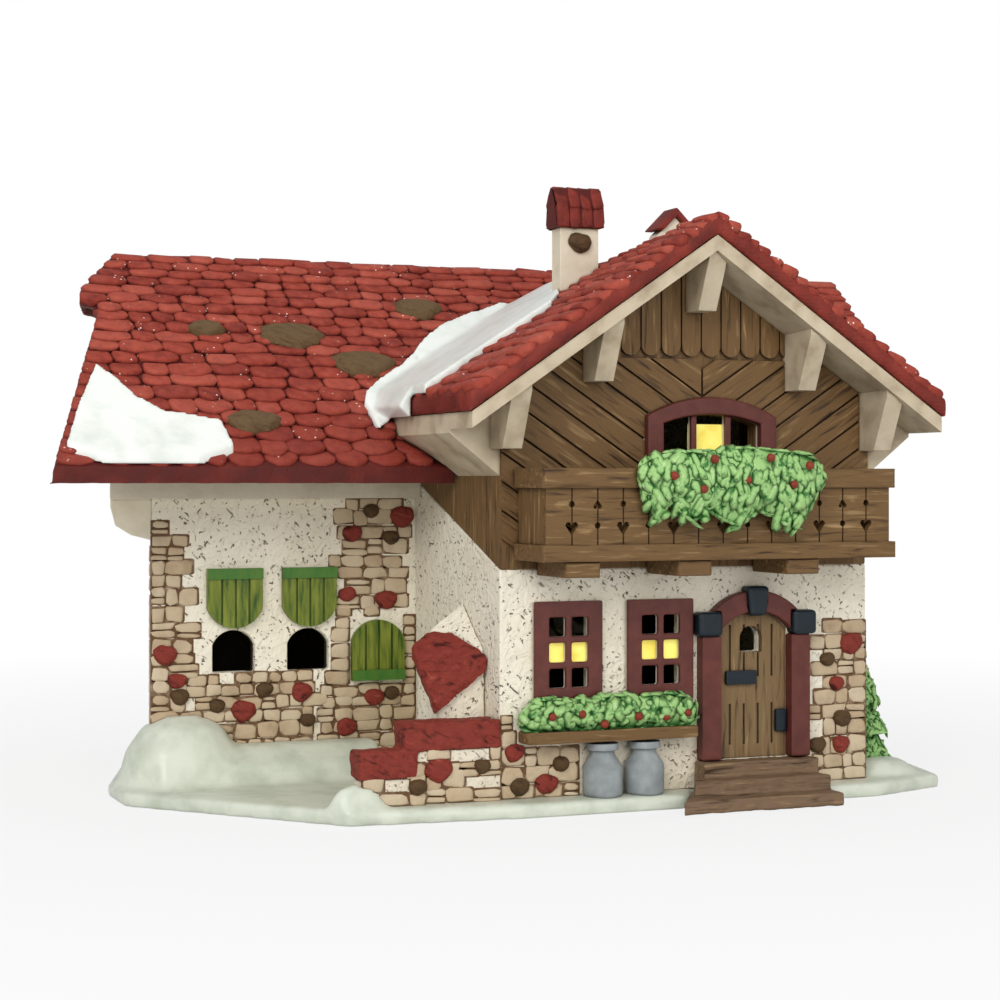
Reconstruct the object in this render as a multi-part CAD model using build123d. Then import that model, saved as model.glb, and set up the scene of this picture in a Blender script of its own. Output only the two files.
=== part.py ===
from build123d import *
import os
from math import copysign, cos, hypot, pi, radians, sin, tan

# A painted porcelain village house: a long barn wing under a half-hipped roof, and a
# gabled house wing with a balcony that stands forward of it. A clip-in lamp lights it
# through a round hole in the back wall.
# Millimetres, X to the right, Y to the back, Z up. Sizes are counted from the front left
# corner of the house wall, at the top of the snow base. The last step moves the origin to
# the middle of the underside.

# Shell
wall = 4.0
overrun = 6.0  # every cutter runs this far past what it cuts
running_gap = 0.3  # between pieces that move against each other

# House wing
house_width = 90.0
house_depth = 53.0
timber_front_height = 48.8
timber_back_height = 68.0

# Barn wing
barn_depth = 61.0
barn_left_reach = 63.0
barn_right_reach = 28.0
end_skew_deg = 12.7  # the barn's left end turns in by this much

# Barn roof
barn_ridge_height = 122.0
barn_eave_height = 71.2
barn_eave_overhang = 28.0
barn_right_overhang = 13.6
right_eave_overhang = 11.6
roof_drop = 4.2  # upright thickness of the tile slab
course_pitch = 5.2  # from one course of tiles to the next, up the slope
course_step = 1.0
ridge_left_reach = 65.0
hip_reach = 8.0
hip_fall = 10.3
rake_reach = 11.8

# House roof
house_ridge_height = 126.0
house_ridge_fall = 10.2
house_eave_height = 86.5
house_side_overhang = 12.7
house_gable_overhang = 14.7
barge_drop = 5.2
soffit_drop = 3.4
soffit_setback = 1.2
side_cove_height = 9.0

# Band under the barn's eaves, and the upper gable that hangs out at its left end
cornice_height = 3.2
cornice_reach = 4.0
corbel_reach = 9.2
corbel_height = 7.5
corbel_foot = 54.5
corbel_shares = ((0.0, 0.0), (0.5, 0.16), (0.88, 0.45), (1.0, 1.0))

# Gable planking
plank_depth = 1.0
plank_width = 5.2
plank_groove = 0.45
plank_angle_deg = 33.0
gable_board_width = 4.9
gable_board_groove = 0.35
gable_board_foot = 95.0
gable_board_count = 9
gable_board_share = 0.555  # the boards' middle, of the house's width
plank_centre_share = 0.53

# Roof brackets: place across the house's width and length below the soffit
bracket_width = 4.4
bracket_depth = 12.6
bracket_length = 12.0
bracket_nose = 5.6
bracket_shares = (0.0, 0.235, 0.51, 0.785, 1.0)

# Flat stones on the barn roof: along the barn, up the slope, and their length
roof_stone_length = 16.0
roof_stone_width = 9.0
roof_stone_height = 1.6
roof_stone_shares = (
    (0.77, 0.61, 0.55), (0.45, 0.59, 1.0), (-0.095, 0.745, 0.78), (0.21, 0.46, 1.0), (0.70, 0.18, 0.8),
)
stone_side_share = 0.72  # top of a stone against its foot
stone_uneven_share = 0.12

# Snow on the roofs, as shares of the barn's length and the slope
snow_thickness = 2.2
barn_snow_shares = (
    (1.21, 0.41), (1.146, 0.34), (1.095, 0.26), (1.01, 0.2), (0.82, 0.16), (0.80, 0.05),
    (0.93, 0.0), (1.245, 0.0), (1.376, 0.05), (1.306, 0.22),
)
valley_snow_shares = (
    (-0.14, 0.22), (0.0, 0.25), (0.1, 0.25), (0.2, 0.26), (0.262, 0.42), (0.285, 0.53),
    (0.4, 0.8), (0.45, 1.3), (0.31, 1.315), (0.177, 1.232), (0.107, 1.177), (0.044, 1.1),
    (-0.003, 1.017), (-0.053, 0.949), (-0.112, 0.889), (-0.174, 0.81), (-0.19, 0.755),
)
snow_lip_reach = 3.0  # the snow that hangs over the house's left eave
snow_lip_drop = 5.0
snow_lip_start = 20.0

# Chimneys
chimney_width = 9.6
chimney_depth = 4.8
chimney_height = 126.0
chimney_x_share = 0.344
chimney_y = 30.2
chimney_cap_height = 9.4
chimney_cap_overhang = 1.1
cap_shares = ((1.0, 0.0), (1.0, 0.18), (0.86, 0.45), (0.88, 0.55), (0.45, 0.95), (0.0, 1.0))
rear_chimney_height = 128.0
rear_chimney_x_share = 0.745
rear_chimney_y = 53.2
rear_cap_slab = 2.4

# Balcony
balcony_left_share = 0.042
balcony_right_share = 0.957
balcony_depth = 16.0
balcony_floor_height = 51.0
balcony_floor_thickness = 1.6
balcony_panel_thickness = 1.8
bottom_rail_height = 3.5
panel_height = 11.8
top_rail_height = 4.2
rail_overhang = 1.2
beam_width = 8.0
beam_height = 3.4
beam_shares = (0.137, 0.427, 0.718)
heart_width = 3.0
heart_count = 7
heart_shoulder_share = 0.72
upper_heart_share = 0.7  # the upturned hearts against the others
hole_radius = 0.7
hole_sides = 10
lobe_turns_deg = (0, 50, 90, 130, 180)
joint_width = 0.35
heart_foot_share = 0.16
hole_high_share = 0.72
hole_low_share = 0.34

# Garland on the balcony rail: place across the garland, foot, top and depth as shares
garland_left_share = 0.272
garland_right_share = 0.75
garland_foot = 58.8
garland_top = 74.6
garland_depth = 5.4
garland_shares = (
    (0.0, 0.5, 0.78, 0.35), (0.07, 0.12, 0.9, 0.8), (0.15, 0.3, 0.95, 0.9), (0.27, 0.08, 0.95, 0.95),
    (0.37, 0.2, 0.97, 1.0), (0.5, 0.04, 1.0, 1.0), (0.62, 0.24, 1.0, 1.0), (0.74, 0.1, 0.97, 0.95),
    (0.85, 0.0, 0.94, 0.85), (0.93, 0.28, 0.88, 0.7), (1.0, 0.52, 0.76, 0.35),
)
spray_lip_share = 0.06
berry_radius = 1.0
berry_sides = 8
berry_ring_shares = ((0.45, -0.9), (1.0, -0.2), (0.85, 0.5), (0.35, 1.0))
garland_berry_shares = (
    (0.13, 0.64), (0.29, 0.46), (0.35, 0.86), (0.53, 0.58), (0.66, 0.88), (0.79, 0.52), (0.88, 0.78),
)

# Windows
frame_depth = 1.7
frame_bar = 1.3
window_foot = 20.0
window_height = 22.0
window_width = 16.0
window_rim = 3.4
left_window_share = 0.082
right_window_share = 0.326
window_rows = 3
window_columns = 2
pane_thickness = 0.8
upper_window_foot = 70.8
upper_window_height = 15.4
upper_window_width = 31.6
upper_window_left_share = 0.375
upper_window_rise = 4.2
upper_window_rim = 3.8
upper_window_sill = 2.4

# Flower box
flower_box_left_share = 0.045
flower_box_width = 40.6
flower_box_depth = 5.6
flower_box_foot = 12.0
flower_box_height = 2.5
greenery_height = 6.6
greenery_shares = (
    (0.0, 0.1, 0.6, 0.5), (0.06, 0.0, 0.9, 0.9), (0.18, 0.0, 1.0, 1.0), (0.34, 0.0, 0.93, 0.95),
    (0.5, 0.0, 1.0, 1.0), (0.66, 0.0, 0.95, 0.95), (0.84, 0.0, 1.0, 1.0), (0.95, 0.0, 0.85, 0.9),
    (1.0, 0.1, 0.5, 0.5),
)
flower_berry_shares = ((0.14, 0.5), (0.31, 0.55), (0.44, 0.2), (0.64, 0.4), (0.8, 0.35), (0.93, 0.45))

# Door
door_centre_share = 0.671
door_foot = 6.2
door_width = 17.6
door_height = 32.6
door_rise = 4.0
door_thickness = 1.7
door_groove = 0.5
door_groove_depth = 0.6
door_plank_count = 5
door_rail_share = 0.46
door_window_width = 5.6
door_window_foot_share = 0.72
door_window_height = 5.8
surround_width = 4.7
surround_depth = 2.8
block_proud = 1.0
impost_width = 6.0
impost_height = 5.4
impost_height_share = 0.84
keystone_width = 5.6
keystone_height = 6.6
keystone_taper_share = 0.72
handle_length = 7.6
handle_height = 3.0
handle_depth = 1.0
handle_x_share = 0.34
handle_height_share = 0.55
hinge_width = 2.6
hinge_height = 5.0
hinge_height_share = 0.17

# Steps at the door
step_rise = 3.13
step_run = 5.4
step_count = 3
step_top_width = 28.6
step_flare = 2.7
step_shift = 2.6  # each lower step sits this much further left

# Milk cans
can_radius = 4.3
can_height = 11.4
can_sink = 2.0  # how far each can is sunk in the wall
can_left_share = 0.255
can_right_share = 0.366
can_shares = (
    (0.0, 0.0), (0.94, 0.0), (1.0, 0.06), (1.0, 0.56), (0.62, 0.78), (0.6, 0.84),
    (0.82, 0.88), (0.8, 1.0), (0.0, 1.0),
)

# Barn front: window holes, shutters and hatch, as shares of the barn's left reach
barn_window_width = 9.9
barn_window_height = 9.6
barn_window_foot = 24.2
barn_window_rise = 3.4
barn_window_shares = (0.697, 0.417)
shutter_width = 12.8
shutter_height = 13.6
shutter_foot = 34.3
shutter_depth = 1.6
shutter_bar = 2.4
shutter_bar_proud = 0.5
shutter_groove = 0.5
shutter_round = 4.6
shutter_plank_count = 4
hatch_share = 0.153
hatch_foot = 21.4
hatch_height = 14.0

# Lean-to on the house's left wall and the low stone wall
lean_to_width = 11.0
lean_to_front = 8.0
lean_to_depth = 14.0
lean_to_low = 19.5  # its top at the front left corner
lean_to_across_share = 0.775  # its roof's rise for each step to the house, and to the back
lean_to_back_share = 0.74
lean_to_cap_thickness = 3.0
lean_to_cap_overhang = 1.4
shoulder_width = 4.2  # render that runs up between the cap and the house
low_wall_length = 31.0
low_wall_upper_length = 22.0
low_wall_thickness = 5.6
low_wall_front = 0.6
low_wall_lower_height = 5.6
low_wall_upper_height = 11.2
coping_height = 6.2
coping_overhang = 0.8

# Accent stones: place and size as shares of the wall that carries them
stone_proud = 0.9
masonry_height = 71.2  # the barn wall's height that the stones' places count from
stone_length = 5.4
stone_height_share = 0.8
stone_sides = 8
barn_red_shares = (
    (0.055, 0.835, 1.1), (0.25, 0.78, 0.85), (0.272, 0.583, 0.75), (0.117, 0.563, 0.95), (0.95, 0.404, 1.0),
    (0.906, 0.32, 0.8), (0.663, 0.216, 1.1), (0.444, 0.27, 0.95), (0.165, 0.245, 0.85), (0.273, 0.15, 0.9),
)
barn_brown_shares = (
    (0.176, 0.855, 0.6), (0.10, 0.768, 0.7), (0.898, 0.27, 0.75), (0.76, 0.236, 0.6), (0.584, 0.281, 0.7),
    (0.422, 0.178, 0.7), (0.095, 0.256, 0.6),
)
house_red_shares = ((0.955, 0.633, 1.15), (0.913, 0.451, 0.7), (0.925, 0.166, 0.85), (0.035, 0.203, 0.8),
                    (0.118, 0.06, 0.95))
house_brown_shares = ((0.887, 0.564, 0.6), (0.93, 0.287, 0.75), (0.858, 0.168, 0.75), (0.155, 0.145, 0.65),
                      (0.05, 0.05, 0.75))
low_wall_red_shares = ((0.46, 0.63, 1.15),)
low_wall_brown_shares = ((0.14, 0.68, 0.65), (0.61, 0.36, 0.65))
chimney_stone_share = 0.36  # of the stack's height below its top

# Evergreen beside the house
tree_radius = 8.4
tree_height = 25.0
tree_y = 16.0
# Foot, rim, reach and top of each tier
tree_tier_shares = ((0.0, 0.05, 1.0, 0.5), (0.3, 0.34, 0.8, 0.72), (0.6, 0.63, 0.56, 1.0))
tree_sides = 14
tree_notch_share = 0.82
tree_core_share = 0.3

# Snow base and drifts
base_height = 3.2
base_margin = 4.0
base_apron = 7.5
base_left_reach = 72.0
base_bank = 12.0
base_tree_room = 20.0
drift_sides = 12
drift_shares = ((1.0, 0.0), (0.86, 0.5), (0.6, 0.85), (0.25, 1.0))
bank_height = 8.4
bank_shares = ((1.0, 0.0), (0.85, 0.5), (0.4, 0.92), (0.0, 1.0))
left_drift_radius = 15.0
left_drift_inset = 7.0
left_drift_height = 15.0
corner_drift_radius = 6.5
corner_drift_height = 5.0
tree_drift_radius = 9.0
tree_drift_height = 3.6

# Clip-in lamp in the back wall
light_hole_radius = 14.0
light_hole_height = 36.0
lamp_x_share = 0.5
holder_radius = 11.0
holder_inner_length = 30.0
flange_radius = 17.0
flange_thickness = 2.0
tail_radius = 7.0
tail_length = 8.0
cord_hole_radius = 3.2
socket_radius = 7.0
socket_depth = 18.0
clip_thickness = 0.9
clip_band = 4.0
clip_width = 5.0
clip_reach = 1.4
clip_leg_length = 9.0
clip_back_share = 0.45
bulb_cap_length = 20.0
bulb_glass_radius = 10.0
bulb_glass_length = 34.0
bulb_neck_share = 0.52
bulb_shares = ((0.3, 0.86), (0.5, 1.0), (0.72, 0.82), (0.9, 0.45), (1.0, 0.0))

# Places worked out from the sizes above
barn_front = house_depth
barn_back = barn_front + barn_depth
barn_right = house_width + barn_right_reach
house_middle = house_width / 2
ridge_y = barn_front + barn_depth / 2
eave_front = barn_front - barn_eave_overhang
eave_back = barn_back + barn_eave_overhang
roof_right = barn_right + barn_right_overhang
right_eave_y = barn_front - right_eave_overhang
barn_slope = (barn_ridge_height - barn_eave_height) / (ridge_y - eave_front)
end_skew = tan(radians(end_skew_deg))
gable_y = -house_gable_overhang
low = -base_height - overrun
high = barn_ridge_height + house_ridge_height / 2
far_left = -ridge_left_reach - house_width
far_right = roof_right + house_width


def outline(points):
    return make_face(Polyline(*points, close=True))


def along_x(points, start, end):
    """A (y, z) outline carried from one X to another."""
    return extrude(Plane.YZ.offset(start) * outline(points), amount=end - start)


def along_y(points, start, end):
    """An (x, z) outline carried from one Y to another."""
    return extrude(Plane.XZ.offset(-end) * outline(points), amount=end - start)


def along_z(points, start, end):
    """An (x, y) outline carried from one Z to another."""
    return extrude(Plane.XY.offset(start) * outline(points), amount=end - start)


def block(x_span, y_span, z_span):
    size = [span[1] - span[0] for span in (x_span, y_span, z_span)]
    corner = Pos(x_span[0], y_span[0], z_span[0])
    return corner * Box(*size, align=(Align.MIN, Align.MIN, Align.MIN))


def rectangle(left, right, foot, top):
    return [(left, foot), (right, foot), (right, top), (left, top)]


def arched(left, right, foot, top, rise):
    """An upright opening outline with a round head."""
    spring = top - rise
    middle = (left + right) / 2
    sides = Polyline((left, spring), (left, foot), (right, foot), (right, spring))
    head = ThreePointArc((right, spring), (middle, top), (left, spring))
    return make_face(sides + head)


def arch_block(left, right, foot, top, rise, start, end):
    return extrude(Plane.XZ.offset(-end) * arched(left, right, foot, top, rise), amount=end - start)


def faceted(rings):
    """A solid of flat facets through rings of points, closed by its first and last ring."""
    faces = [Face(Wire.make_polygon(ring)) for ring in (rings[0], rings[-1])]
    for lower, upper in zip(rings, rings[1:]):
        for index in range(len(lower)):
            corner = [lower[index - 1], lower[index], upper[index], upper[index - 1]]
            faces.append(Face(Wire.make_polygon(corner[:3])))
            faces.append(Face(Wire.make_polygon([corner[0], corner[2], corner[3]])))
    return Solid(Shell(faces)).fix()


def gather(solids):
    """Several separate solids in one piece."""
    return Compound([solid for piece in solids for solid in piece.solids()])


# Roof forms
def barn_top(y):
    return barn_ridge_height - barn_slope * abs(y - ridge_y)


def along_end(points, start, end):
    """An (x, z) outline, drawn at the barn's ridge, carried back along the turned end."""
    shift = (start - ridge_y) * end_skew
    moved = [(x + shift, z) for x, z in points]
    face = Plane.XZ.offset(-start) * outline(moved)
    return extrude(face, amount=(end - start) / cos(radians(end_skew_deg)), dir=(end_skew, 1, 0))


def rake_x(z):
    fall = (barn_ridge_height - z) / (barn_ridge_height - barn_eave_height)
    return -ridge_left_reach - rake_reach * fall


def barn_end_outline():
    hip_x = -ridge_left_reach - hip_reach
    hip_z = barn_ridge_height - hip_fall
    return [
        (rake_x(low), low), (rake_x(hip_z - roof_drop), hip_z - roof_drop), (hip_x, hip_z - roof_drop),
        (hip_x, hip_z), (-ridge_left_reach, barn_ridge_height), (-ridge_left_reach, high),
        (far_right, high), (far_right, low),
    ]


def hip_line(lowered):
    """Everything under the half hip, lowered by a slab."""
    slope = hip_fall / hip_reach
    top = barn_ridge_height - lowered
    run = (top - low) / slope
    return [(-ridge_left_reach - run, low), (-ridge_left_reach, top), (far_right, top), (far_right, low)]


def barn_solid(lowered, start, end):
    """Everything under the barn's two slopes, lowered by a slab."""
    front = eave_front - overrun
    back = eave_back + overrun
    profile = [
        (front, low), (front, barn_top(front) - lowered), (ridge_y, barn_ridge_height - lowered),
        (back, barn_top(back) - lowered), (back, low),
    ]
    return along_x(profile, start, end)


def barn_mass(raised=0):
    """The barn roof as a full block with its eaves cut upright, without the house's place."""
    eaves = block((far_left, roof_right), (eave_front, eave_back), (barn_eave_height - roof_drop, high))
    body = barn_solid(-raised, far_left, roof_right) & eaves
    body &= along_end(barn_end_outline(), eave_front - overrun, eave_back + overrun)
    body -= block((house_middle, far_right), (eave_front - overrun, right_eave_y), (low, high))
    return body - block((0, house_width), (eave_front - overrun, barn_front), (low, high))


def barn_under(lowered):
    under = barn_solid(lowered, far_left, far_right)
    return under & along_end(hip_line(lowered), eave_front - 2 * overrun, eave_back + 2 * overrun)


def house_ridge(y):
    return house_ridge_height - house_ridge_fall * (y - gable_y) / (ridge_y - gable_y)


def house_section(y, lowered, side, foot):
    """Cross-section under the house roof: two slopes that meet at a ridge falling to the back."""
    ridge = house_ridge(y) - lowered
    slope = (house_ridge(y) - house_eave_height) / (house_middle + house_side_overhang)
    left = -house_side_overhang - side
    right = house_width + house_side_overhang + side
    edge = house_eave_height - lowered - slope * side
    points = [(left, foot), (left, edge), (house_middle, ridge), (right, edge), (right, foot)]
    return Plane.XZ.offset(-y) * outline(points)


def house_mass(raised=0):
    foot = house_eave_height - barge_drop
    ends = (gable_y, ridge_y)
    return loft([house_section(y, -raised, 0, foot) for y in ends], ruled=True)


def house_under(lowered):
    ends = (gable_y - overrun, ridge_y + overrun)
    return loft([house_section(y, lowered, overrun, low) for y in ends], ruled=True)


def stepped(start, end, count):
    """Points up a slope of tile courses: each is full at its lower edge and sinks towards the next."""
    run = end[0] - start[0]
    rise = end[1] - start[1]
    share = course_step / hypot(run, rise)
    sink = (copysign(rise, run) * share, -abs(run) * share)
    points = []
    for index in range(count):
        nose = index / count
        heel = nose + 1 / count
        points.append((start[0] + run * nose, start[1] + rise * nose))
        points.append((start[0] + run * heel + sink[0], start[1] + rise * heel + sink[1]))
    return points[:-1]


def course_count(run, rise):
    return round(hypot(run, rise) / course_pitch)


def barn_courses():
    """Everything under the barn's two stepped slopes."""
    count = course_count(ridge_y - eave_front, barn_ridge_height - barn_eave_height)
    ridge = (ridge_y, barn_ridge_height)
    front = stepped((eave_front, barn_eave_height), ridge, count)
    back = stepped((eave_back, barn_eave_height), ridge, count)
    ends = [(eave_front - overrun, barn_eave_height), (eave_front - overrun, low)]
    other = [(eave_back + overrun, low), (eave_back + overrun, barn_eave_height)]
    return along_x(ends[::-1] + front + [ridge] + back[::-1] + other[::-1], far_left, far_right)


def house_courses():
    """The house roof as a full block with stepped slopes."""
    half = house_middle + house_side_overhang
    count = course_count(half, house_ridge_height - house_eave_height)
    foot = house_eave_height - barge_drop
    sections = []
    for y in (gable_y, ridge_y):
        ridge = (house_middle, house_ridge(y))
        left = stepped((house_middle - half, house_eave_height), ridge, count)
        right = stepped((house_middle + half, house_eave_height), ridge, count)
        points = [(left[0][0], foot)] + left + [ridge] + right[::-1] + [(right[0][0], foot)]
        sections.append(Plane.XZ.offset(-y) * outline(points))
    return loft(sections, ruled=True)


barn_block = barn_mass()
barn_tiled = barn_block & barn_courses()
barn_inside = barn_under(roof_drop)
house_block = house_mass()
house_tiled = house_courses()
house_inside = house_under(barge_drop)
house_lining = house_under(barge_drop + soffit_drop)
house_hollow = block((wall, house_width - wall), (barn_front - overrun, ridge_y), (0, high))


def barn_roof():
    return barn_tiled - barn_inside - (house_inside & house_hollow)


def house_roof():
    return house_tiled - house_inside - barn_tiled


def gable_soffit():
    """White lining under the house roof, with a cove along each side wall."""
    left = -house_side_overhang + soffit_setback
    right = house_width + house_side_overhang - soffit_setback
    span = block((left, right), (gable_y + soffit_setback, barn_front), (0, high))
    lining = (house_inside & span) - house_lining
    edge = house_eave_height - barge_drop - soffit_drop
    foot = edge - side_cove_height
    coves = []
    for wall_x, eave_x in ((0, left), (house_width, right)):
        cove = along_y([(wall_x, foot), (wall_x, high), (eave_x, high), (eave_x, edge)], 0, barn_front)
        coves.append(cove & house_inside)
    lining += coves
    return lining - block((0, house_width), (0, barn_front + overrun), (low, high)) - barn_block


def roof_brackets():
    toe = bracket_nose - bracket_depth
    pieces = []
    for share in bracket_shares:
        middle = share * house_width
        slope = (house_ridge_height - house_eave_height) / (house_middle + house_side_overhang)
        head = house_ridge_height - barge_drop - soffit_drop - slope * abs(middle - house_middle)
        foot = head - bracket_length
        profile = [(0, foot), (0, high), (-bracket_depth, high), (-bracket_depth, head), (toe, foot)]
        body = along_x(profile, middle - bracket_width / 2, middle + bracket_width / 2)
        pieces.append(body & house_lining)
    return gather(pieces)


# Walls
def left_wall_x(y):
    return -barn_left_reach + (y - barn_front) * end_skew


def barn_plan(inset):
    front = barn_front + inset
    back = barn_back - inset
    side = inset / cos(radians(end_skew_deg))
    return [
        (left_wall_x(front) + side, front), (barn_right - inset, front),
        (barn_right - inset, back), (left_wall_x(back) + side, back),
    ]


def barn_window_middle(share):
    return -share * barn_left_reach


def light_hole(radius, start, end):
    plane = Plane.XZ.offset(-end)
    spot = Pos(lamp_x_share * house_width, light_hole_height)
    return extrude(plane * (spot * Circle(radius)), amount=end - start)


def barn_shell():
    """The barn's four walls, open to the house and pierced by windows and light hole."""
    ring = along_z(barn_plan(0), 0, high) - along_z(barn_plan(wall), low, high)
    ring &= barn_inside
    span_y = (barn_front - overrun, barn_front + wall + overrun)
    ring -= block((wall, house_width - wall), span_y, (low, high))
    for share in barn_window_shares:
        middle = barn_window_middle(share)
        half = barn_window_width / 2
        top = barn_window_foot + barn_window_height
        ring -= arch_block(middle - half, middle + half, barn_window_foot, top, barn_window_rise,
                           barn_front - overrun, barn_front + wall + overrun)
    return ring - light_hole(light_hole_radius, barn_back - wall - overrun, barn_back + overrun)


barn_walls = barn_shell()
barn_whole = (2 * left_wall_x(barn_front), barn_right + overrun)
barn_left_half = (barn_whole[0], 0)
barn_right_half = (0, barn_whole[1])
barn_between = (barn_front + wall, barn_back - wall)


def barn_wall(span_x, span_y):
    """One wall of the barn; front and back run through, the end walls stand between them."""
    return barn_walls & block(span_x, span_y, (low, high))


def timber_line(y):
    return timber_front_height + (timber_back_height - timber_front_height) * y / house_depth


def under_timber():
    front = -overrun
    back = house_depth + overrun
    profile = [(front, low), (front, timber_line(front)), (back, timber_line(back)), (back, low)]
    return along_x(profile, -overrun, house_width + overrun)


def house_shell():
    outer = block((0, house_width), (0, house_depth), (0, high))
    return outer - block((wall, house_width - wall), (wall, house_depth + overrun), (low, high + overrun))


def window_left(share):
    return share * house_width


def window_light(left):
    """The opening in the wall behind a window frame."""
    rim = window_rim - frame_bar
    right = left + window_width
    return rectangle(left + rim, right - rim, window_foot + rim, window_foot + window_height - rim)


door_left = door_centre_share * house_width - door_width / 2
door_right = door_left + door_width
door_top = door_foot + door_height


def door_outline(start, end):
    return arch_block(door_left, door_right, door_foot, door_top, door_rise, start, end)


def door_light(start, end):
    middle = door_centre_share * house_width
    foot = door_foot + door_window_foot_share * door_height
    half = door_window_width / 2
    return arch_block(middle - half, middle + half, foot, foot + door_window_height, half, start, end)


def house_walls():
    shell = house_shell() & under_timber()
    for share in (left_window_share, right_window_share):
        shell -= along_y(window_light(window_left(share)), -overrun, wall + overrun)
    shell -= door_outline(-overrun, door_thickness)
    return shell - door_light(-overrun, wall + overrun)


def upper_window_span():
    left = upper_window_left_share * house_width
    return left, left + upper_window_width


def upper_window_outline(start, end):
    left, right = upper_window_span()
    top = upper_window_foot + upper_window_height
    return arch_block(left, right, upper_window_foot, top, upper_window_rise, start, end)


def upper_light(start, end):
    left, right = upper_window_span()
    rim = upper_window_rim
    top = upper_window_foot + upper_window_height - rim
    foot = upper_window_foot + upper_window_sill
    return arch_block(left + rim, right - rim, foot, top, upper_window_rise / 2, start, end)


def timber_storey():
    shell = (house_shell() - under_timber()) & house_inside
    return shell - upper_light(-overrun, wall + overrun)


def gable_face():
    """The place that the planks fill: the front gable above the balcony's floor."""
    floor = balcony_floor_height + balcony_floor_thickness
    return block((0, house_width), (-plank_depth, 0), (floor, high)) & house_lining


def gable_boards():
    """Upright boards with round feet in the top of the gable."""
    middle = gable_board_share * house_width
    half = gable_board_width / 2
    face = gable_face() - roof_brackets() - upper_window_outline(-overrun, overrun)
    boards = []
    for index in range(gable_board_count):
        centre = middle + (index - (gable_board_count - 1) / 2) * gable_board_width
        left = centre - half + gable_board_groove / 2
        right = centre + half - gable_board_groove / 2
        body = block((left, right), (-plank_depth, 0), (gable_board_foot + half, high))
        foot = Plane.XZ * (Pos(centre, gable_board_foot + half) * Circle((right - left) / 2))
        boards.append((body + extrude(foot, amount=plank_depth)) & face)
    return gather(boards)


def chevron_planks():
    """Planks that slope down to the gable's middle line."""
    middle = plank_centre_share * house_width
    face = gable_face() - roof_brackets() - upper_window_outline(-overrun, overrun)
    boards = gable_board_share * house_width
    span = gable_board_count * gable_board_width / 2
    foot = gable_board_foot - plank_groove
    face -= block((boards - span, boards + span), (-overrun, overrun), (foot, high))
    rise = tan(radians(plank_angle_deg))
    pitch = plank_width / cos(radians(plank_angle_deg))
    clear = plank_groove / cos(radians(plank_angle_deg))
    planks = []
    for side in (-1, 1):
        reach = house_width
        count = int(high / pitch)
        for index in range(-count, count):
            foot = index * pitch
            inner = middle + side * plank_groove / 2
            outer = inner + side * reach
            strip = [(inner, foot), (outer, foot + rise * reach),
                     (outer, foot + rise * reach + pitch - clear), (inner, foot + pitch - clear)]
            plank = along_y(strip, -plank_depth, 0) & face
            planks.extend(solid for solid in plank.solids() if solid.volume > plank_depth * plank_width)
    return Compound(planks)


def barn_cornice():
    """The eaves' band on both sides and the upper gable on its curved corbel."""
    foot = barn_eave_height - roof_drop - cornice_height
    left = left_wall_x(ridge_y)
    corbel = [(left - corbel_reach * out, corbel_foot + corbel_height * up) for out, up in corbel_shares]
    body = along_end([(left, high)] + corbel + [(left - corbel_reach, high)], barn_front, barn_back)
    for edge, out, right in ((barn_front, -cornice_reach, 0), (barn_back, cornice_reach, barn_right)):
        plan = [(left_wall_x(y) - corbel_reach, y) for y in (edge, edge + out)]
        band = along_z([plan[0], (right, edge), (right, edge + out), plan[1]], foot, high)
        body += band
    return (body & barn_inside) - along_z(barn_plan(0), low, high)


# Roof stones and snow
barn_plane = Plane(origin=(0, eave_front, barn_eave_height), x_dir=(1, 0, 0), z_dir=(0, -barn_slope, 1))
slope_length = (ridge_y - eave_front) * (1 + barn_slope ** 2) ** 0.5


def pebble(length, width, height, turn=0):
    """A flat stone: an uneven many-sided foot drawn in to a smaller top."""
    rings = []
    for level, share in ((0, 1.0), (height, stone_side_share)):
        points = []
        for index in range(stone_sides):
            angle = 2 * pi * (index + turn) / stone_sides
            uneven = 1 + stone_uneven_share * sin(3 * angle + turn)
            reach = share * uneven / 2
            points.append((reach * length * cos(angle), reach * width * sin(angle), level))
        rings.append(points)
    return faceted(rings)


def roof_stones():
    stones = []
    for turn, (across, up, size) in enumerate(roof_stone_shares):
        spot = Pos(-across * barn_left_reach, up * slope_length, 0)
        length, width = roof_stone_length * size, roof_stone_width * size
        stone = pebble(length, width, roof_stone_height, turn / stone_sides)
        stones.append(barn_plane * (spot * stone) - house_block)
    return gather(stones)


def snow_layer(points, cover, ground):
    """Snow as deep as its thickness over the given roofs, inside a plan outline."""
    return (along_z(points, 0, high) & cover) - ground


def barn_roof_snow():
    run = ridge_y - eave_front
    points = [(-across * barn_left_reach, eave_front + up * run) for across, up in barn_snow_shares]
    return snow_layer(points, barn_mass(snow_thickness), barn_tiled)


def valley_snow():
    points = [(across * house_width, back * house_depth) for across, back in valley_snow_shares]
    cover = barn_mass(snow_thickness) + house_mass(snow_thickness)
    eave = -house_side_overhang
    top = house_eave_height + snow_thickness
    foot = house_eave_height - snow_lip_drop
    lip = along_y([(eave, foot), (eave, top), (eave - snow_lip_reach / 2, house_eave_height),
                   (eave - snow_lip_reach, foot + snow_lip_drop / 2)], snow_lip_start, ridge_y)
    lip -= barn_tiled
    snow = snow_layer(points, cover, barn_tiled + house_tiled) - house_inside + lip
    snow = snow - chimney_body(0) - gable_soffit()
    return gather([sorted(snow.solids(), key=lambda solid: solid.volume)[-1]])


# Chimneys
def chimney_span(share):
    middle = share * house_width
    return middle - chimney_width / 2, middle + chimney_width / 2


def chimney_body(margin):
    left, right = chimney_span(chimney_x_share)
    half = chimney_depth / 2
    span_y = (chimney_y - half - margin, chimney_y + half + margin)
    return block((left - margin, right + margin), span_y, (house_eave_height, chimney_height))


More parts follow.
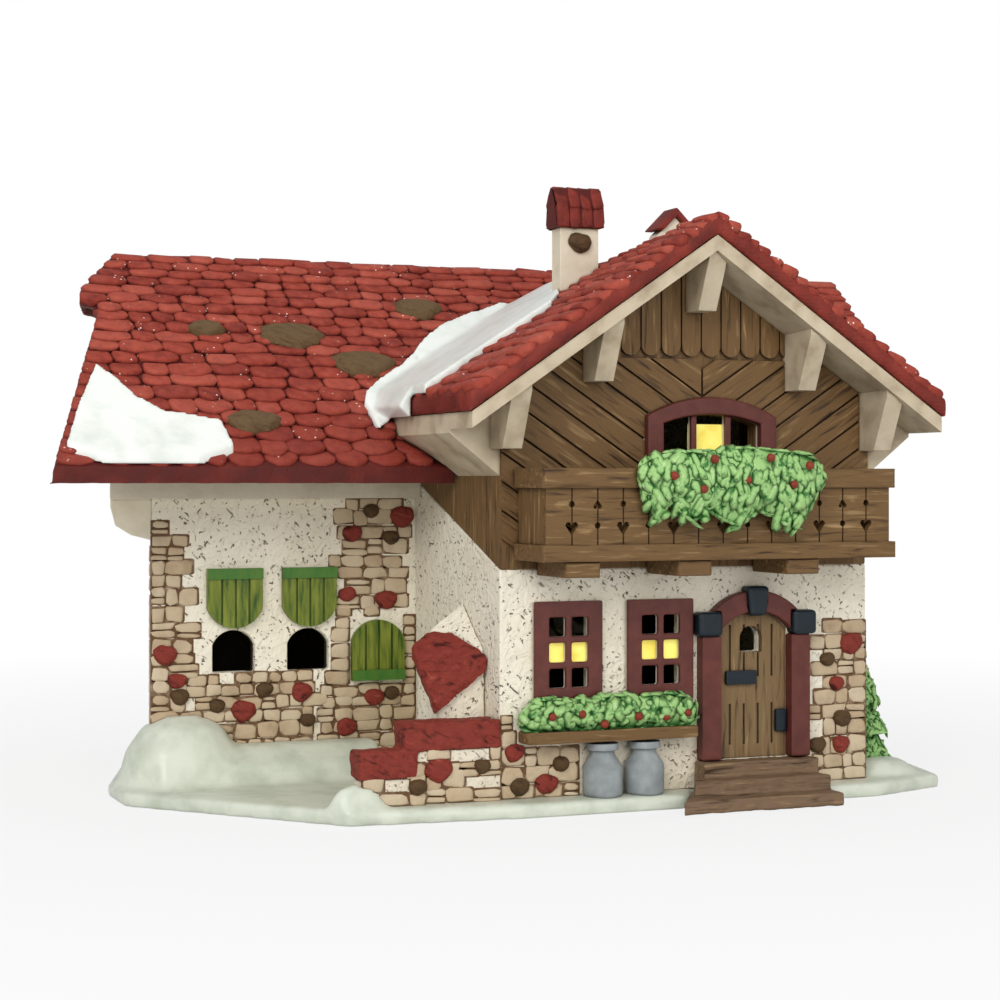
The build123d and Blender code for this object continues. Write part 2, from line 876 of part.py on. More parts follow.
def chimney_stack():
    return chimney_body(0) - house_tiled - house_inside


def chimney_cap():
    """A saddle cap with two courses of tiles, its ridge across the house."""
    left, right = chimney_span(chimney_x_share)
    half = chimney_depth / 2 + chimney_cap_overhang
    front = [(chimney_y - half * out, chimney_height + chimney_cap_height * up) for out, up in cap_shares]
    back = [(chimney_y + half * out, chimney_height + chimney_cap_height * up)
            for out, up in cap_shares[-2::-1]]
    return along_x(front + back, left - chimney_cap_overhang, right + chimney_cap_overhang)


def rear_gable(out, lift):
    """Gable outline of the rear chimney, its ridge running to the back."""
    left, right = chimney_span(rear_chimney_x_share)
    middle = (left + right) / 2
    foot = rear_chimney_height + lift - out
    return [(left - out, foot), (middle, foot + middle - left + out), (right + out, foot)]


def rear_chimney_stack():
    left, right = chimney_span(rear_chimney_x_share)
    half = chimney_depth / 2
    span_y = (rear_chimney_y - half, rear_chimney_y + half)
    body = block((left, right), span_y, (house_eave_height, rear_chimney_height))
    body += along_y(rear_gable(0, 0), *span_y)
    return body - house_tiled - house_inside - barn_tiled - barn_inside


def rear_chimney_cap():
    half = chimney_depth / 2 + chimney_cap_overhang
    span_y = (rear_chimney_y - half, rear_chimney_y + half)
    cap = along_y(rear_gable(chimney_cap_overhang, rear_cap_slab), *span_y)
    cap -= along_y(rear_gable(2 * chimney_cap_overhang, 0), span_y[0] - overrun, span_y[1] + overrun)
    left, right = chimney_span(rear_chimney_x_share)
    return cap - block((left, right), (span_y[0] - overrun, span_y[1] + overrun), (low, rear_chimney_height))


# Balcony
balcony_left = balcony_left_share * house_width
balcony_right = balcony_right_share * house_width
panel_foot = balcony_floor_height + bottom_rail_height
panel_top = panel_foot + panel_height
rail_top = panel_top + top_rail_height


def balcony_floor():
    inner = balcony_panel_thickness
    span_x = (balcony_left + inner, balcony_right - inner)
    floor_top = balcony_floor_height + balcony_floor_thickness
    return block(span_x, (-balcony_depth + inner, 0), (balcony_floor_height, floor_top))


def balcony_ring(proud, foot, top):
    """The balcony's three sides as one band, standing proud of the panel."""
    inner = balcony_panel_thickness
    span_y = (-balcony_depth - proud, -plank_depth)
    band = block((balcony_left - proud, balcony_right + proud), span_y, (foot, top))
    span_x = (balcony_left + inner, balcony_right - inner)
    return band - block(span_x, (-balcony_depth + inner, overrun), (low, high))


def heart(middle, tip, scale):
    """A plain heart outline, two round lobes over a point, upturned at a negative scale."""
    quarter = abs(scale) * heart_width / 4
    shoulder = tip + scale * heart_width * heart_shoulder_share
    rise = scale * heart_width / 4
    points = [(middle, tip)]
    for centre in (middle + quarter, middle - quarter):
        for turn in lobe_turns_deg:
            points.append((centre + quarter * cos(radians(turn)), shoulder + rise * sin(radians(turn))))
    del points[len(lobe_turns_deg)]
    return outline(points)


def balcony_front_panel():
    """Front panel pierced with hearts and round holes."""
    front = -balcony_depth
    back = front + balcony_panel_thickness
    panel = block((balcony_left, balcony_right), (front, back), (panel_foot, panel_top))
    pitch = (balcony_right - balcony_left) / heart_count
    cut = balcony_panel_thickness + 2 * overrun
    plane = Plane.XZ.offset(-back - overrun)
    heart_foot = panel_foot + heart_foot_share * panel_height
    row_high = panel_foot + hole_high_share * panel_height
    row_low = panel_foot + hole_low_share * panel_height
    holes = []
    joints = []
    for index in range(heart_count):
        middle = balcony_left + (index + 0.5) * pitch
        holes.append(heart(middle, heart_foot, 1))
        holes.append(Pos(middle, row_high) * RegularPolygon(hole_radius, hole_sides))
        joints.append(middle)
        if index < heart_count - 1:
            middle += pitch / 2
            holes.append(heart(middle, row_high + heart_width / 3, -upper_heart_share))
            holes.append(Pos(middle, row_low) * RegularPolygon(hole_radius, hole_sides))
            joints.append(middle)
    for hole in holes:
        panel -= extrude(plane * hole, amount=cut)
    for middle in joints:
        span = (middle - joint_width / 2, middle + joint_width / 2)
        span_z = (panel_foot - overrun, panel_top + overrun)
        panel -= block(span, (front - overrun, front + joint_width), span_z)
    return panel


def balcony_side_panels():
    back = -balcony_depth + balcony_panel_thickness
    inner = balcony_panel_thickness
    spans = ((balcony_left, balcony_left + inner), (balcony_right - inner, balcony_right))
    return gather([block(span, (back, -plank_depth), (panel_foot, panel_top)) for span in spans])


def balcony_top_rail():
    return balcony_ring(rail_overhang, panel_top, rail_top)


def balcony_bottom_rail():
    return balcony_ring(rail_overhang, balcony_floor_height, panel_foot)


def balcony_beams():
    half = beam_width / 2
    foot = balcony_floor_height - beam_height
    middles = [share * house_width for share in beam_shares]
    span_z = (foot, balcony_floor_height)
    return gather([block((x - half, x + half), (-balcony_depth, 0), span_z) for x in middles])


# Greenery
def spray(shares, left, width, foot, height, front, depth):
    """A bank of foliage with a flat back, lofted through hand-set sections."""
    rings = []
    for across, lower, upper, thick in shares:
        bottom = foot + lower * height
        rise = (upper - lower) * height
        out = front - thick * depth
        middle = (front + out) / 2
        points = [
            (front, bottom), (middle, bottom - rise * spray_lip_share), (out, bottom + rise / 3),
            (out, bottom + rise * 2 / 3), (middle, bottom + rise), (front, bottom + rise),
        ]
        rings.append([(left + across * width, y, z) for y, z in points])
    return faceted(rings)


rail_front = -balcony_depth - rail_overhang
garland_left = garland_left_share * house_width
garland_width = (garland_right_share - garland_left_share) * house_width


def garland():
    height = garland_top - garland_foot
    return spray(garland_shares, garland_left, garland_width, garland_foot, height, rail_front, garland_depth)


def berries(places, left, width, foot, height, front, depth, leaves):
    """Round berries half sunk in the foliage."""
    solids = []
    for across, up in places:
        place = (left + across * width, front - depth, foot + up * height)
        rings = []
        for out, along in berry_ring_shares:
            turns = [2 * pi * index / berry_sides for index in range(berry_sides)]
            ring = [(out * cos(turn), -along, out * sin(turn)) for turn in turns]
            rings.append([tuple(berry_radius * value for value in point) for point in ring])
        solids.append(Pos(*place) * faceted(rings) - leaves)
    return gather(solids)


def garland_berries(leaves):
    height = garland_top - garland_foot
    return berries(garland_berry_shares, garland_left, garland_width, garland_foot, height,
                   rail_front, garland_depth, leaves)


flower_left = flower_box_left_share * house_width
greenery_foot = flower_box_foot + flower_box_height


def flower_box_board():
    span_x = (flower_left, flower_left + flower_box_width)
    return block(span_x, (-flower_box_depth, 0), (flower_box_foot, greenery_foot))


def flower_box_greenery():
    """The bank of greenery on the board, in front of the window frames' feet."""
    lift = greenery_height * spray_lip_share
    bank = spray(greenery_shares, flower_left, flower_box_width, greenery_foot + lift,
                 greenery_height, -frame_depth, flower_box_depth - frame_depth)
    return bank


def flower_box_berries(leaves):
    return berries(flower_berry_shares, flower_left, flower_box_width, greenery_foot, greenery_height,
                   -frame_depth, flower_box_depth - frame_depth, leaves)


# Windows
def window_frame(share):
    """A frame plate pierced by small panes."""
    left = window_left(share)
    edge = rectangle(left, left + window_width, window_foot, window_foot + window_height)
    plate = along_y(edge, -frame_depth, 0)
    for pane in window_panes(left):
        plate -= along_y(rectangle(*pane), -overrun, overrun)
    return plate


def window_panes(left):
    """The panes' spans, row by row from the bottom."""
    across = (window_width - 2 * window_rim - (window_columns - 1) * frame_bar) / window_columns
    up = (window_height - 2 * window_rim - (window_rows - 1) * frame_bar) / window_rows
    panes = []
    for row in range(window_rows):
        for column in range(window_columns):
            pane_left = left + window_rim + column * (across + frame_bar)
            pane_foot = window_foot + window_rim + row * (up + frame_bar)
            panes.append((pane_left, pane_left + across, pane_foot, pane_foot + up))
    return panes


def upper_mullions():
    left, right = upper_window_span()
    light = right - left - 2 * upper_window_rim
    third = (light - 2 * frame_bar) / 3
    first = left + upper_window_rim + third
    second = first + frame_bar + third
    return (first, first + frame_bar), (second, second + frame_bar)


def upper_window_frame():
    depth = frame_depth + plank_depth
    plate = upper_window_outline(-depth, 0) - upper_light(-overrun - depth, overrun)
    foot = upper_window_foot
    top = upper_window_foot + upper_window_height - upper_window_rim
    for span in upper_mullions():
        plate += block(span, (-frame_depth, 0), (foot, top))
    return plate


def lit_panes():
    """Yellow panes behind the middle lights, against the backs of their frames."""
    panes = []
    margin = frame_bar / 2 - running_gap
    for share in (left_window_share, right_window_share):
        middle_row = window_panes(window_left(share))[window_columns:2 * window_columns]
        for left, right, foot, top in middle_row:
            outline_points = rectangle(left - margin, right + margin, foot - margin, top + margin)
            panes.append(along_y(outline_points, 0, pane_thickness))
    first, second = upper_mullions()
    foot = upper_window_foot + upper_window_sill
    top = upper_window_foot + upper_window_height - upper_window_rim - upper_window_rise / 2
    span = rectangle(first[0] + running_gap, second[1] - running_gap, foot, top)
    panes.append(along_y(span, 0, pane_thickness))
    return gather(panes)


# Door
def door_surround():
    """A half-round-headed moulding, cut where the blocks sit."""
    outer = arch_block(door_left - surround_width, door_right + surround_width, door_foot,
                       door_top + surround_width, door_rise + surround_width, -surround_depth, 0)
    return outer - door_outline(-overrun, overrun) - door_blocks()


def door_blocks():
    """Keystone and the two impost blocks."""
    front = -surround_depth - block_proud
    middle = door_centre_share * house_width
    foot = door_foot + impost_height_share * door_height
    half = keystone_width / 2
    narrow = half * keystone_taper_share
    base = door_top + surround_width - keystone_height + block_proud
    top = base + keystone_height
    wedge = [(middle - narrow, base), (middle + narrow, base), (middle + half, top), (middle - half, top)]
    blocks = [along_y(wedge, front, 0)]
    for inner, side in ((door_left, -1), (door_right, 1)):
        edge = inner + side * impost_width
        span = (min(inner, edge), max(inner, edge))
        blocks.append(block(span, (front, 0), (foot, foot + impost_height)))
    return gather(blocks)


def door_leaf():
    """A plank leaf with upright grooves, a middle rail and a small arched light."""
    leaf = door_outline(0, door_thickness) - door_light(-overrun, overrun)
    pitch = door_width / door_plank_count
    rail = door_foot + door_rail_share * door_height
    half = handle_height
    for index in range(1, door_plank_count):
        middle = door_left + index * pitch
        span = (middle - door_groove / 2, middle + door_groove / 2)
        leaf -= block(span, (-overrun, door_groove_depth), (door_foot + half, rail - half))
        leaf -= block(span, (-overrun, door_groove_depth), (rail + half, door_top - half))
    return leaf


def door_handle():
    left = door_left + handle_x_share * door_width - handle_length / 2
    foot = door_foot + handle_height_share * door_height - handle_height / 2
    return block((left, left + handle_length), (-handle_depth, 0), (foot, foot + handle_height))


def door_hinge():
    foot = door_foot + hinge_height_share * door_height
    span = (door_right - hinge_width - running_gap, door_right - running_gap)
    return block(span, (-handle_depth, 0), (foot, foot + hinge_height))


def door_steps():
    """Worn wooden steps, wider and further left at each lower tread."""
    middle = door_centre_share * house_width
    solids = []
    for index in range(step_count):
        below = step_count - 1 - index
        half = step_top_width / 2 + below * step_flare
        centre = middle - below * step_shift
        front = -step_run * (below + 1)
        foot = -base_height if index == 0 else -base_height + index * step_rise
        plan = [(centre - half, front), (centre + half, front), (middle + step_top_width / 2, 0),
                (middle - step_top_width / 2, 0)]
        solids.append(along_z(plan, foot, -base_height + (index + 1) * step_rise))
    body = solids[0]
    for step in solids[1:]:
        body += step
    return body


# Milk cans
def milk_can(share):
    profile = [(can_radius * out, can_height * up) for out, up in can_shares]
    spot = Pos(share * house_width, can_sink - can_radius, 0)
    can = spot * revolve(Plane.XZ * outline(profile), axis=Axis.Z)
    return can - block((0, house_width), (0, house_depth), (low, high))


# Barn shutters
def plank_shutter(middle, foot, height, round_foot):
    """A plank shutter with one round end and a bar across the other."""
    half = shutter_width / 2
    front = barn_front - shutter_depth
    top = foot + height
    leaf = arch_block(middle - half, middle + half, foot, top, shutter_round, front, barn_front)
    bar_foot = foot
    if round_foot:
        leaf = mirror(leaf, about=Plane.XY.offset(foot + height / 2))
        bar_foot = top - shutter_bar
    pitch = shutter_width / shutter_plank_count
    for index in range(1, shutter_plank_count):
        x = middle - half + index * pitch
        span = (x - shutter_groove / 2, x + shutter_groove / 2)
        leaf -= block(span, (front - overrun, front + shutter_groove), (foot - overrun, top + overrun))
    span_y = (front - shutter_bar_proud, barn_front)
    bar = block((middle - half, middle + half), span_y, (bar_foot, bar_foot + shutter_bar))
    return leaf + bar


def window_shutter(share):
    return plank_shutter(barn_window_middle(share), shutter_foot, shutter_height, True)


def barn_hatch():
    return plank_shutter(-hatch_share * barn_left_reach, hatch_foot, hatch_height, False)


# Lean-to and low wall
def lean_to_under(lift):
    """Everything under the lean-to's roof, which falls to the front and to the left."""
    sections = []
    for y in (lean_to_front - overrun, lean_to_front + lean_to_depth + overrun):
        edge = lean_to_low + lift + lean_to_back_share * (y - lean_to_front)
        left = -lean_to_width - overrun
        points = [(x, edge + lean_to_across_share * (x + lean_to_width)) for x in (overrun, left)]
        sections.append(Plane.XZ.offset(-y) * outline([(left, low), (overrun, low)] + points))
    return loft(sections, ruled=True)


def lean_to_shoulder(lift):
    """The strip between the cap and the house, wider towards the back."""
    back = lean_to_front + lean_to_depth
    plan = [(0, lean_to_front), (0, back), (-2 * shoulder_width, back),
            (-shoulder_width, back - shoulder_width)]
    return along_z(plan, 0, high) & lean_to_under(lift)


def lean_to():
    span_y = (lean_to_front, lean_to_front + lean_to_depth)
    body = block((-lean_to_width, 0), span_y, (0, high)) & lean_to_under(0)
    return body + lean_to_shoulder(lean_to_cap_thickness)


def lean_to_cap():
    out = lean_to_width + lean_to_cap_overhang
    span_y = (lean_to_front - lean_to_cap_overhang, lean_to_front + lean_to_depth)
    slab = block((-out, 0), span_y, (0, high)) & lean_to_under(lean_to_cap_thickness)
    return slab - lean_to_under(0) - lean_to_shoulder(lean_to_cap_thickness)


def low_wall():
    step = -low_wall_upper_length + coping_height / 2
    profile = [
        (-low_wall_length, 0), (-low_wall_length, low_wall_lower_height), (step, low_wall_lower_height),
        (step, low_wall_upper_height), (0, low_wall_upper_height), (0, 0),
    ]
    return along_y(profile, -low_wall_front, low_wall_thickness - low_wall_front)


def low_wall_coping():
    step = -low_wall_upper_length + coping_height / 2
    out = low_wall_length + coping_overhang
    lower_top = low_wall_lower_height + coping_height
    profile = [
        (-out, low_wall_lower_height), (-out, lower_top), (-low_wall_upper_length, lower_top),
        (-low_wall_upper_length, low_wall_upper_height + coping_height),
        (0, low_wall_upper_height + coping_height),
        (0, low_wall_upper_height), (step, low_wall_upper_height), (step, low_wall_lower_height),
    ]
    front = -low_wall_front - coping_overhang
    return along_y(profile, front, low_wall_thickness - low_wall_front + coping_overhang)


# Accent stones
def wall_stone(x, y, z, size, turn):
    plane = Plane(origin=(x, y, z), x_dir=(1, 0, 0), z_dir=(0, -1, 0))
    length = stone_length * size
    return plane * pebble(length, length * stone_height_share, stone_proud, turn / stone_sides)


def stones(barn_shares, house_shares, low_shares):
    """Stones on the three walls, cut back where something else is set on the wall."""
    fittings = [barn_hatch(), lean_to(), house_shell(), barn_cornice(), gable_soffit(),
                door_surround(), door_blocks(), low_wall_coping()]
    fittings += [window_shutter(share) for share in barn_window_shares]
    pieces = []
    for turn, (across, up, size) in enumerate(barn_shares):
        pieces.append(wall_stone(-across * barn_left_reach, barn_front, up * masonry_height, size, turn))
    for turn, (across, up, size) in enumerate(house_shares):
        pieces.append(wall_stone(across * house_width, 0, up * timber_front_height, size, turn))
    for turn, (across, up, size) in enumerate(low_shares):
        place = (-across * low_wall_length, -low_wall_front, up * low_wall_upper_height)
        pieces.append(wall_stone(*place, size, turn))
    return [stone - fittings for stone in pieces]


def red_stones():
    return gather(stones(barn_red_shares, house_red_shares, low_wall_red_shares))


def brown_stones():
    pieces = stones(barn_brown_shares, house_brown_shares, low_wall_brown_shares)
    face = chimney_y - chimney_depth / 2
    z = chimney_height - chimney_stone_share * chimney_width
    pieces.append(wall_stone(chimney_x_share * house_width, face, z, 1.0, 0))
    return gather(pieces)


# Tree, base and drifts
def evergreen_tree():
    """Three tiers of boughs, each a fluted cone that springs from the one below."""
    spot = Pos(house_width + tree_radius, tree_y, 0)
    tree = None
    for foot, rim, out, top in tree_tier_shares:
        rings = []
        for level, reach in ((foot, tree_core_share * out), (rim, out), (top, tree_core_share * out / 2)):
            points = []
            for index in range(tree_sides):
                angle = 2 * pi * index / tree_sides
                flute = tree_notch_share if index % 2 else 1.0
                radius = tree_radius * reach * flute
                points.append((radius * cos(angle), radius * sin(angle), level * tree_height))
            rings.append(points)
        tier = faceted(rings)
        tree = tier if tree is None else tree + tier
    return spot * tree


def snow_base():
    """Ground slab with an uneven edge, cut away where the steps stand."""
    left = left_wall_x(barn_back) - base_margin
    plan = [
        (-base_left_reach, barn_front - base_bank), (-low_wall_length - base_margin, -base_margin),
        (0, -base_apron), (house_width, -base_apron), (house_width + base_tree_room, 0),
        (barn_right + base_margin, barn_front - base_margin),
        (barn_right + base_margin, barn_back + base_margin),
        (left, barn_back + base_margin), (-base_left_reach, barn_front + base_margin),
    ]
    return along_z(plan, -base_height, 0) - door_steps()


def drift(x, y, long, wide, height):
    rings = []
    for out, up in drift_shares:
        points = []
        for index in range(drift_sides):
            angle = 2 * pi * index / drift_sides
            points.append((x + out * long * cos(angle), y + out * wide * sin(angle), up * height))
        rings.append(points)
    return faceted(rings)


def snow_drifts():
    """A bank along the barn's foot and drifts at its corner, at the low wall and at the tree."""
    bank_profile = [(barn_front - base_bank * out, bank_height * up) for out, up in bank_shares]
    bank = along_x(bank_profile + [(barn_front, 0)], -barn_left_reach, -lean_to_width)
    left_x = left_drift_inset - barn_left_reach
    left = drift(left_x, barn_front, left_drift_radius, base_bank, left_drift_height)
    corner_x = -low_wall_length - coping_overhang
    corner = drift(corner_x, 0, corner_drift_radius, corner_drift_radius / 2, corner_drift_height)
    tree_foot = drift(house_width + tree_radius, tree_y / 2, tree_drift_radius, tree_y / 2, tree_drift_height)
    barn = along_z(barn_plan(0), low, high)
    bodies = [bank + left - barn, corner - low_wall() - low_wall_coping()]
    bodies.append(tree_foot - evergreen_tree() - house_shell())
    return gather(bodies)


# Lamp
def about_lamp(profile):
    """Turn a (radius, distance in from the back wall) outline about the lamp's axis."""
    points = [(radius, barn_back - depth) for radius, depth in profile]
    body = revolve(outline(points), axis=Axis.Y)
    return Pos(lamp_x_share * house_width, 0, light_hole_height) * body


def lamp_holder():
    """Flanged holder: socket towards the house, cord hole through the tail."""
    face = -running_gap
    back = face - flange_thickness
    tail = back - tail_length
    inner = holder_inner_length
    bottom = inner - socket_depth
    profile = [
        (cord_hole_radius, tail), (tail_radius, tail), (tail_radius, back), (flange_radius, back),
        (flange_radius, face), (holder_radius, face), (holder_radius, inner), (socket_radius, inner),
        (socket_radius, bottom), (cord_hole_radius, bottom),
    ]
    return about_lamp(profile)


def lamp_clip():
    """A sprung band on the holder with two legs that brace in the hole."""
    start = wall + clip_leg_length
    band = about_lamp([
        (holder_radius, start), (holder_radius, start + clip_band),
        (holder_radius + clip_thickness, start + clip_band), (holder_radius + clip_thickness, start),
    ])
    foot = barn_back - start
    tip = barn_back - wall * clip_back_share
    legs = []
    for side in (-1, 1):
        inner = side * holder_radius
        outer = inner + side * clip_thickness
        spread = side * clip_reach
        points = [(inner, foot - clip_band), (outer, foot - clip_band), (outer, foot), (outer + spread, tip),
                  (inner + spread, tip), (inner, foot)]
        leg = along_z(points, -clip_width / 2, clip_width / 2)
        legs.append(Pos(lamp_x_share * house_width, 0, light_hole_height) * leg)
    holder = light_hole(holder_radius, low, barn_back)
    return (band + legs) - holder


def bulb_cap():
    radius = socket_radius - running_gap
    seat = holder_inner_length - socket_depth + running_gap
    top = seat + bulb_cap_length
    return about_lamp([(0, seat), (radius, seat), (radius, top), (0, top)])


def bulb_glass():
    """A small candle bulb standing on its cap."""
    foot = holder_inner_length - socket_depth + running_gap + bulb_cap_length
    profile = [(0, foot), (bulb_neck_share * bulb_glass_radius, foot)]
    profile += [(out * bulb_glass_radius, foot + along * bulb_glass_length) for along, out in bulb_shares]
    return about_lamp(profile)


# Every piece, by the name of its node
leaves_garland = garland()
leaves_box = flower_box_greenery()
pieces = {
    "snow_base": snow_base(),
    "snow_drifts": snow_drifts(),
    "barn_front_wall": barn_wall(barn_whole, (barn_front - overrun, barn_between[0])),
    "barn_back_wall": barn_wall(barn_whole, (barn_between[1], barn_back + overrun)),
    "barn_left_wall": barn_wall(barn_left_half, barn_between),
    "barn_right_wall": barn_wall(barn_right_half, barn_between),
    "house_walls": house_walls(),
    "timber_storey": timber_storey(),
    "chevron_planks": chevron_planks(),
    "gable_boards": gable_boards(),
    "barn_roof": barn_roof(),
    "house_roof": house_roof(),
    "barn_cornice": barn_cornice(),
    "gable_soffit": gable_soffit(),
    "roof_brackets": roof_brackets(),
    "roof_stones": roof_stones(),
    "barn_roof_snow": barn_roof_snow(),
    "valley_snow": valley_snow(),
    "chimney_stack": chimney_stack(),
    "chimney_cap": chimney_cap(),
    "rear_chimney_stack": rear_chimney_stack(),
    "rear_chimney_cap": rear_chimney_cap(),
    "balcony_floor": balcony_floor(),
    "balcony_front_panel": balcony_front_panel(),
    "balcony_side_panels": balcony_side_panels(),
    "balcony_top_rail": balcony_top_rail(),
    "balcony_bottom_rail": balcony_bottom_rail(),
    "balcony_beams": balcony_beams(),
    "garland": leaves_garland,
    "garland_berries": garland_berries(leaves_garland),
    "upper_window_frame": upper_window_frame(),
    "left_window_frame": window_frame(left_window_share),
    "right_window_frame": window_frame(right_window_share),
    "lit_panes": lit_panes(),
    "flower_box_board": flower_box_board(),
    "flower_box_greenery": leaves_box,
    "flower_box_berries": flower_box_berries(leaves_box),
    "door_surround": door_surround(),
    "door_blocks": door_blocks(),
    "door_leaf": door_leaf(),
    "door_handle": door_handle(),
    "door_hinge": door_hinge(),
    "door_steps": door_steps(),
    "left_milk_can": milk_can(can_left_share),
    "right_milk_can": milk_can(can_right_share),
    "left_shutter": window_shutter(barn_window_shares[0]),
    "middle_shutter": window_shutter(barn_window_shares[1]),
    "barn_hatch": barn_hatch(),
    "lean_to": lean_to(),
    "lean_to_cap": lean_to_cap(),
    "low_wall": low_wall(),
    "low_wall_coping": low_wall_coping(),
    "red_stones": red_stones(),
    "brown_stones": brown_stones(),
    "evergreen_tree": evergreen_tree(),
    "lamp_holder": lamp_holder(),
    "lamp_clip": lamp_clip(),
    "bulb_cap": bulb_cap(),
    "bulb_glass": bulb_glass(),
}

# The origin goes to the middle of the underside
boxes = [piece.bounding_box() for piece in pieces.values()]
middle_x = (min(box.min.X for box in boxes) + max(box.max.X for box in boxes)) / 2
middle_y = (min(box.min.Y for box in boxes) + max(box.max.Y for box in boxes)) / 2
underside = min(box.min.Z for box in boxes)
to_origin = Pos(-middle_x, -middle_y, -underside)
print("origin shift", -middle_x, -middle_y, -underside)

os.makedirs("parts", exist_ok=True)
for name, piece in pieces.items():
    export_step(to_origin * piece, f"parts/{name}.step")
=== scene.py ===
import random
from math import hypot, radians, tan

import bmesh
import bpy
from mathutils import Matrix, Vector


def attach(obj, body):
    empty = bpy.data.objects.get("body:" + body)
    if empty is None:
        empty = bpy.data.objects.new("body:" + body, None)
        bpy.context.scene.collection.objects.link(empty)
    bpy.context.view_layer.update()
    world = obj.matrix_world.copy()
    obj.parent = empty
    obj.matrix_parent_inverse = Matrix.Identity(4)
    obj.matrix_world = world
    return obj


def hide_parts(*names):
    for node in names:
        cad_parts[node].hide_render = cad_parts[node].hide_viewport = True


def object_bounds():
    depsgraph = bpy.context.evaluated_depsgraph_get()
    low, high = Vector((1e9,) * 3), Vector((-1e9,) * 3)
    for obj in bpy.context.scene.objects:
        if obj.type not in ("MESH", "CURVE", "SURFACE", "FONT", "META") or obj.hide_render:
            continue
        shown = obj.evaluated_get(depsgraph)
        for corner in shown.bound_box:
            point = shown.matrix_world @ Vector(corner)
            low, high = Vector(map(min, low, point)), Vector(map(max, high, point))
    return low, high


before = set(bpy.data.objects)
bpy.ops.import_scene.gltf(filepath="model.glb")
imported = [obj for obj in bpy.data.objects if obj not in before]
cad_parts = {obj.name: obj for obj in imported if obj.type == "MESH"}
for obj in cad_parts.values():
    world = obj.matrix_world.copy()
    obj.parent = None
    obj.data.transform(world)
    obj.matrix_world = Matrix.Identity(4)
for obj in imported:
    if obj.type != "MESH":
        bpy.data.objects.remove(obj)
cad_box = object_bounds()

# Sizes are in millimetres, counted from the front left foot of the house wall, as in the
# part's source; MM and HOME bring them into the row frame.
MM = 0.001
HOME = Vector((-20.32043, -59.2, 3.2))

HOUSE_WIDTH = 90.0
HOUSE_DEPTH = 53.0
BARN_FRONT = HOUSE_DEPTH
BARN_BACK = 114.0
SHUTTER_FACE = 1.7
BARN_LEFT = -63.0
BARN_RIGHT = 118.0
RIDGE_Y = 83.5
END_SKEW = tan(radians(12.7))
BARN_RIDGE = 122.0
BARN_EAVE = 71.2
EAVE_FRONT = 25.0
EAVE_BACK = 142.0
ROOF_RIGHT = 131.6
RIGHT_EAVE_Y = 41.4
BARN_SLOPE = (BARN_RIDGE - BARN_EAVE) / (RIDGE_Y - EAVE_FRONT)
RIDGE_LEFT = -65.0
HIP_REACH = 8.0
HIP_FALL = 10.3
RAKE_REACH = 11.8
ROOF_DROP = 4.2
HOUSE_MIDDLE = 45.0
HOUSE_RIDGE = 126.0
HOUSE_FALL = 10.2
HOUSE_EAVE = 86.5
HOUSE_SIDE = 12.7
GABLE_Y = -14.7
PLANK_MIDDLE = 0.53 * HOUSE_WIDTH
PANEL_SKIN = 0.8  # in front of the wall, to which the frames' paint reaches inside an opening
FOOT_WARMTH = (26.0, 4.0)  # heights between which the render turns warmer
EAVE_WARMTH = 18.0  # above the eave, where the tiles start to turn deeper
# The inside of the barn, painted in shade: where, along an axis, its walls turn dark
BARN_SHADED_HOLLOW = (("X", -41.0, -40.0), ("X", 117.0, 116.0), ("Y", BARN_FRONT + 1.5, BARN_FRONT + 2.0),
               ("Y", BARN_BACK - 1.0, BARN_BACK - 1.5))
SEED = 7


def spot(x, y, z):
    """A point of the part's source, in the row frame, in metres."""
    return (Vector((x, y, z)) + HOME) * MM


def between(value, low, high):
    return min(max(value, low), high)


def boxed(place):
    """A point of the part's source, moved back inside the castings' overall box."""
    low, high = ([value / MM - home for value, home in zip(corner, HOME)] for corner in cad_box)
    return Vector([between(*values) for values in zip(place, low, high)])


# Colours, as they look on the glazed piece
def paint(red, green, blue):
    def linear(value):
        value /= 255
        return value / 12.92 if value <= 0.04045 else ((value + 0.055) / 1.055) ** 2.4
    return (linear(red), linear(green), linear(blue), 1.0)


ROOF_RED = paint(156, 60, 44)
ROOF_RED_LIGHT = paint(184, 92, 74)
ROOF_RED_DEEP = paint(120, 40, 30)
ROOF_JOINT = paint(66, 14, 12)
FASCIA_RED = paint(86, 22, 15)
RENDER_WHITE = paint(243, 236, 217)
RENDER_SHADE = paint(214, 200, 172)
RENDER_PIT = paint(84, 62, 40)
STONE_TAN = paint(197, 177, 147)
STONE_PALE = paint(214, 198, 171)
STONE_WARM = paint(176, 151, 119)
JOINT_BROWN = paint(104, 76, 52)
# The trim's whites are painted darker, as painted shade for the undersides of soffit and brackets; its wash
# colour is also the painted shade in its corners.
SHADED_TRIM_WHITE = paint(196, 181, 155)
TRIM_LIGHT = paint(218, 206, 182)
TRIM_WASH_AND_SHADE = paint(132, 112, 86)
# The cornice's white is a lighter copy of the trim's, painted light where the eave's shadow falls on it.
LIT_CORNICE_WHITE = paint(228, 219, 196)
TIMBER_BROWN = paint(112, 84, 50)
TIMBER_DARK = paint(56, 38, 20)
TIMBER_RUB = paint(160, 132, 92)
DOOR_BROWN = paint(126, 102, 69)
MAROON = paint(106, 53, 45)
MAROON_DARK = paint(48, 16, 16)
BISQUE = paint(214, 208, 196)
SNOW_WHITE = paint(239, 243, 238)
SNOW_SHADE = paint(222, 229, 221)
# The snow on the ground, greyer and greener than the snow on the roofs: painted shade
GROUND_SNOW_SHADED = paint(216, 222, 206)
GROUND_SNOW_DEEP_SHADE = paint(192, 200, 182)
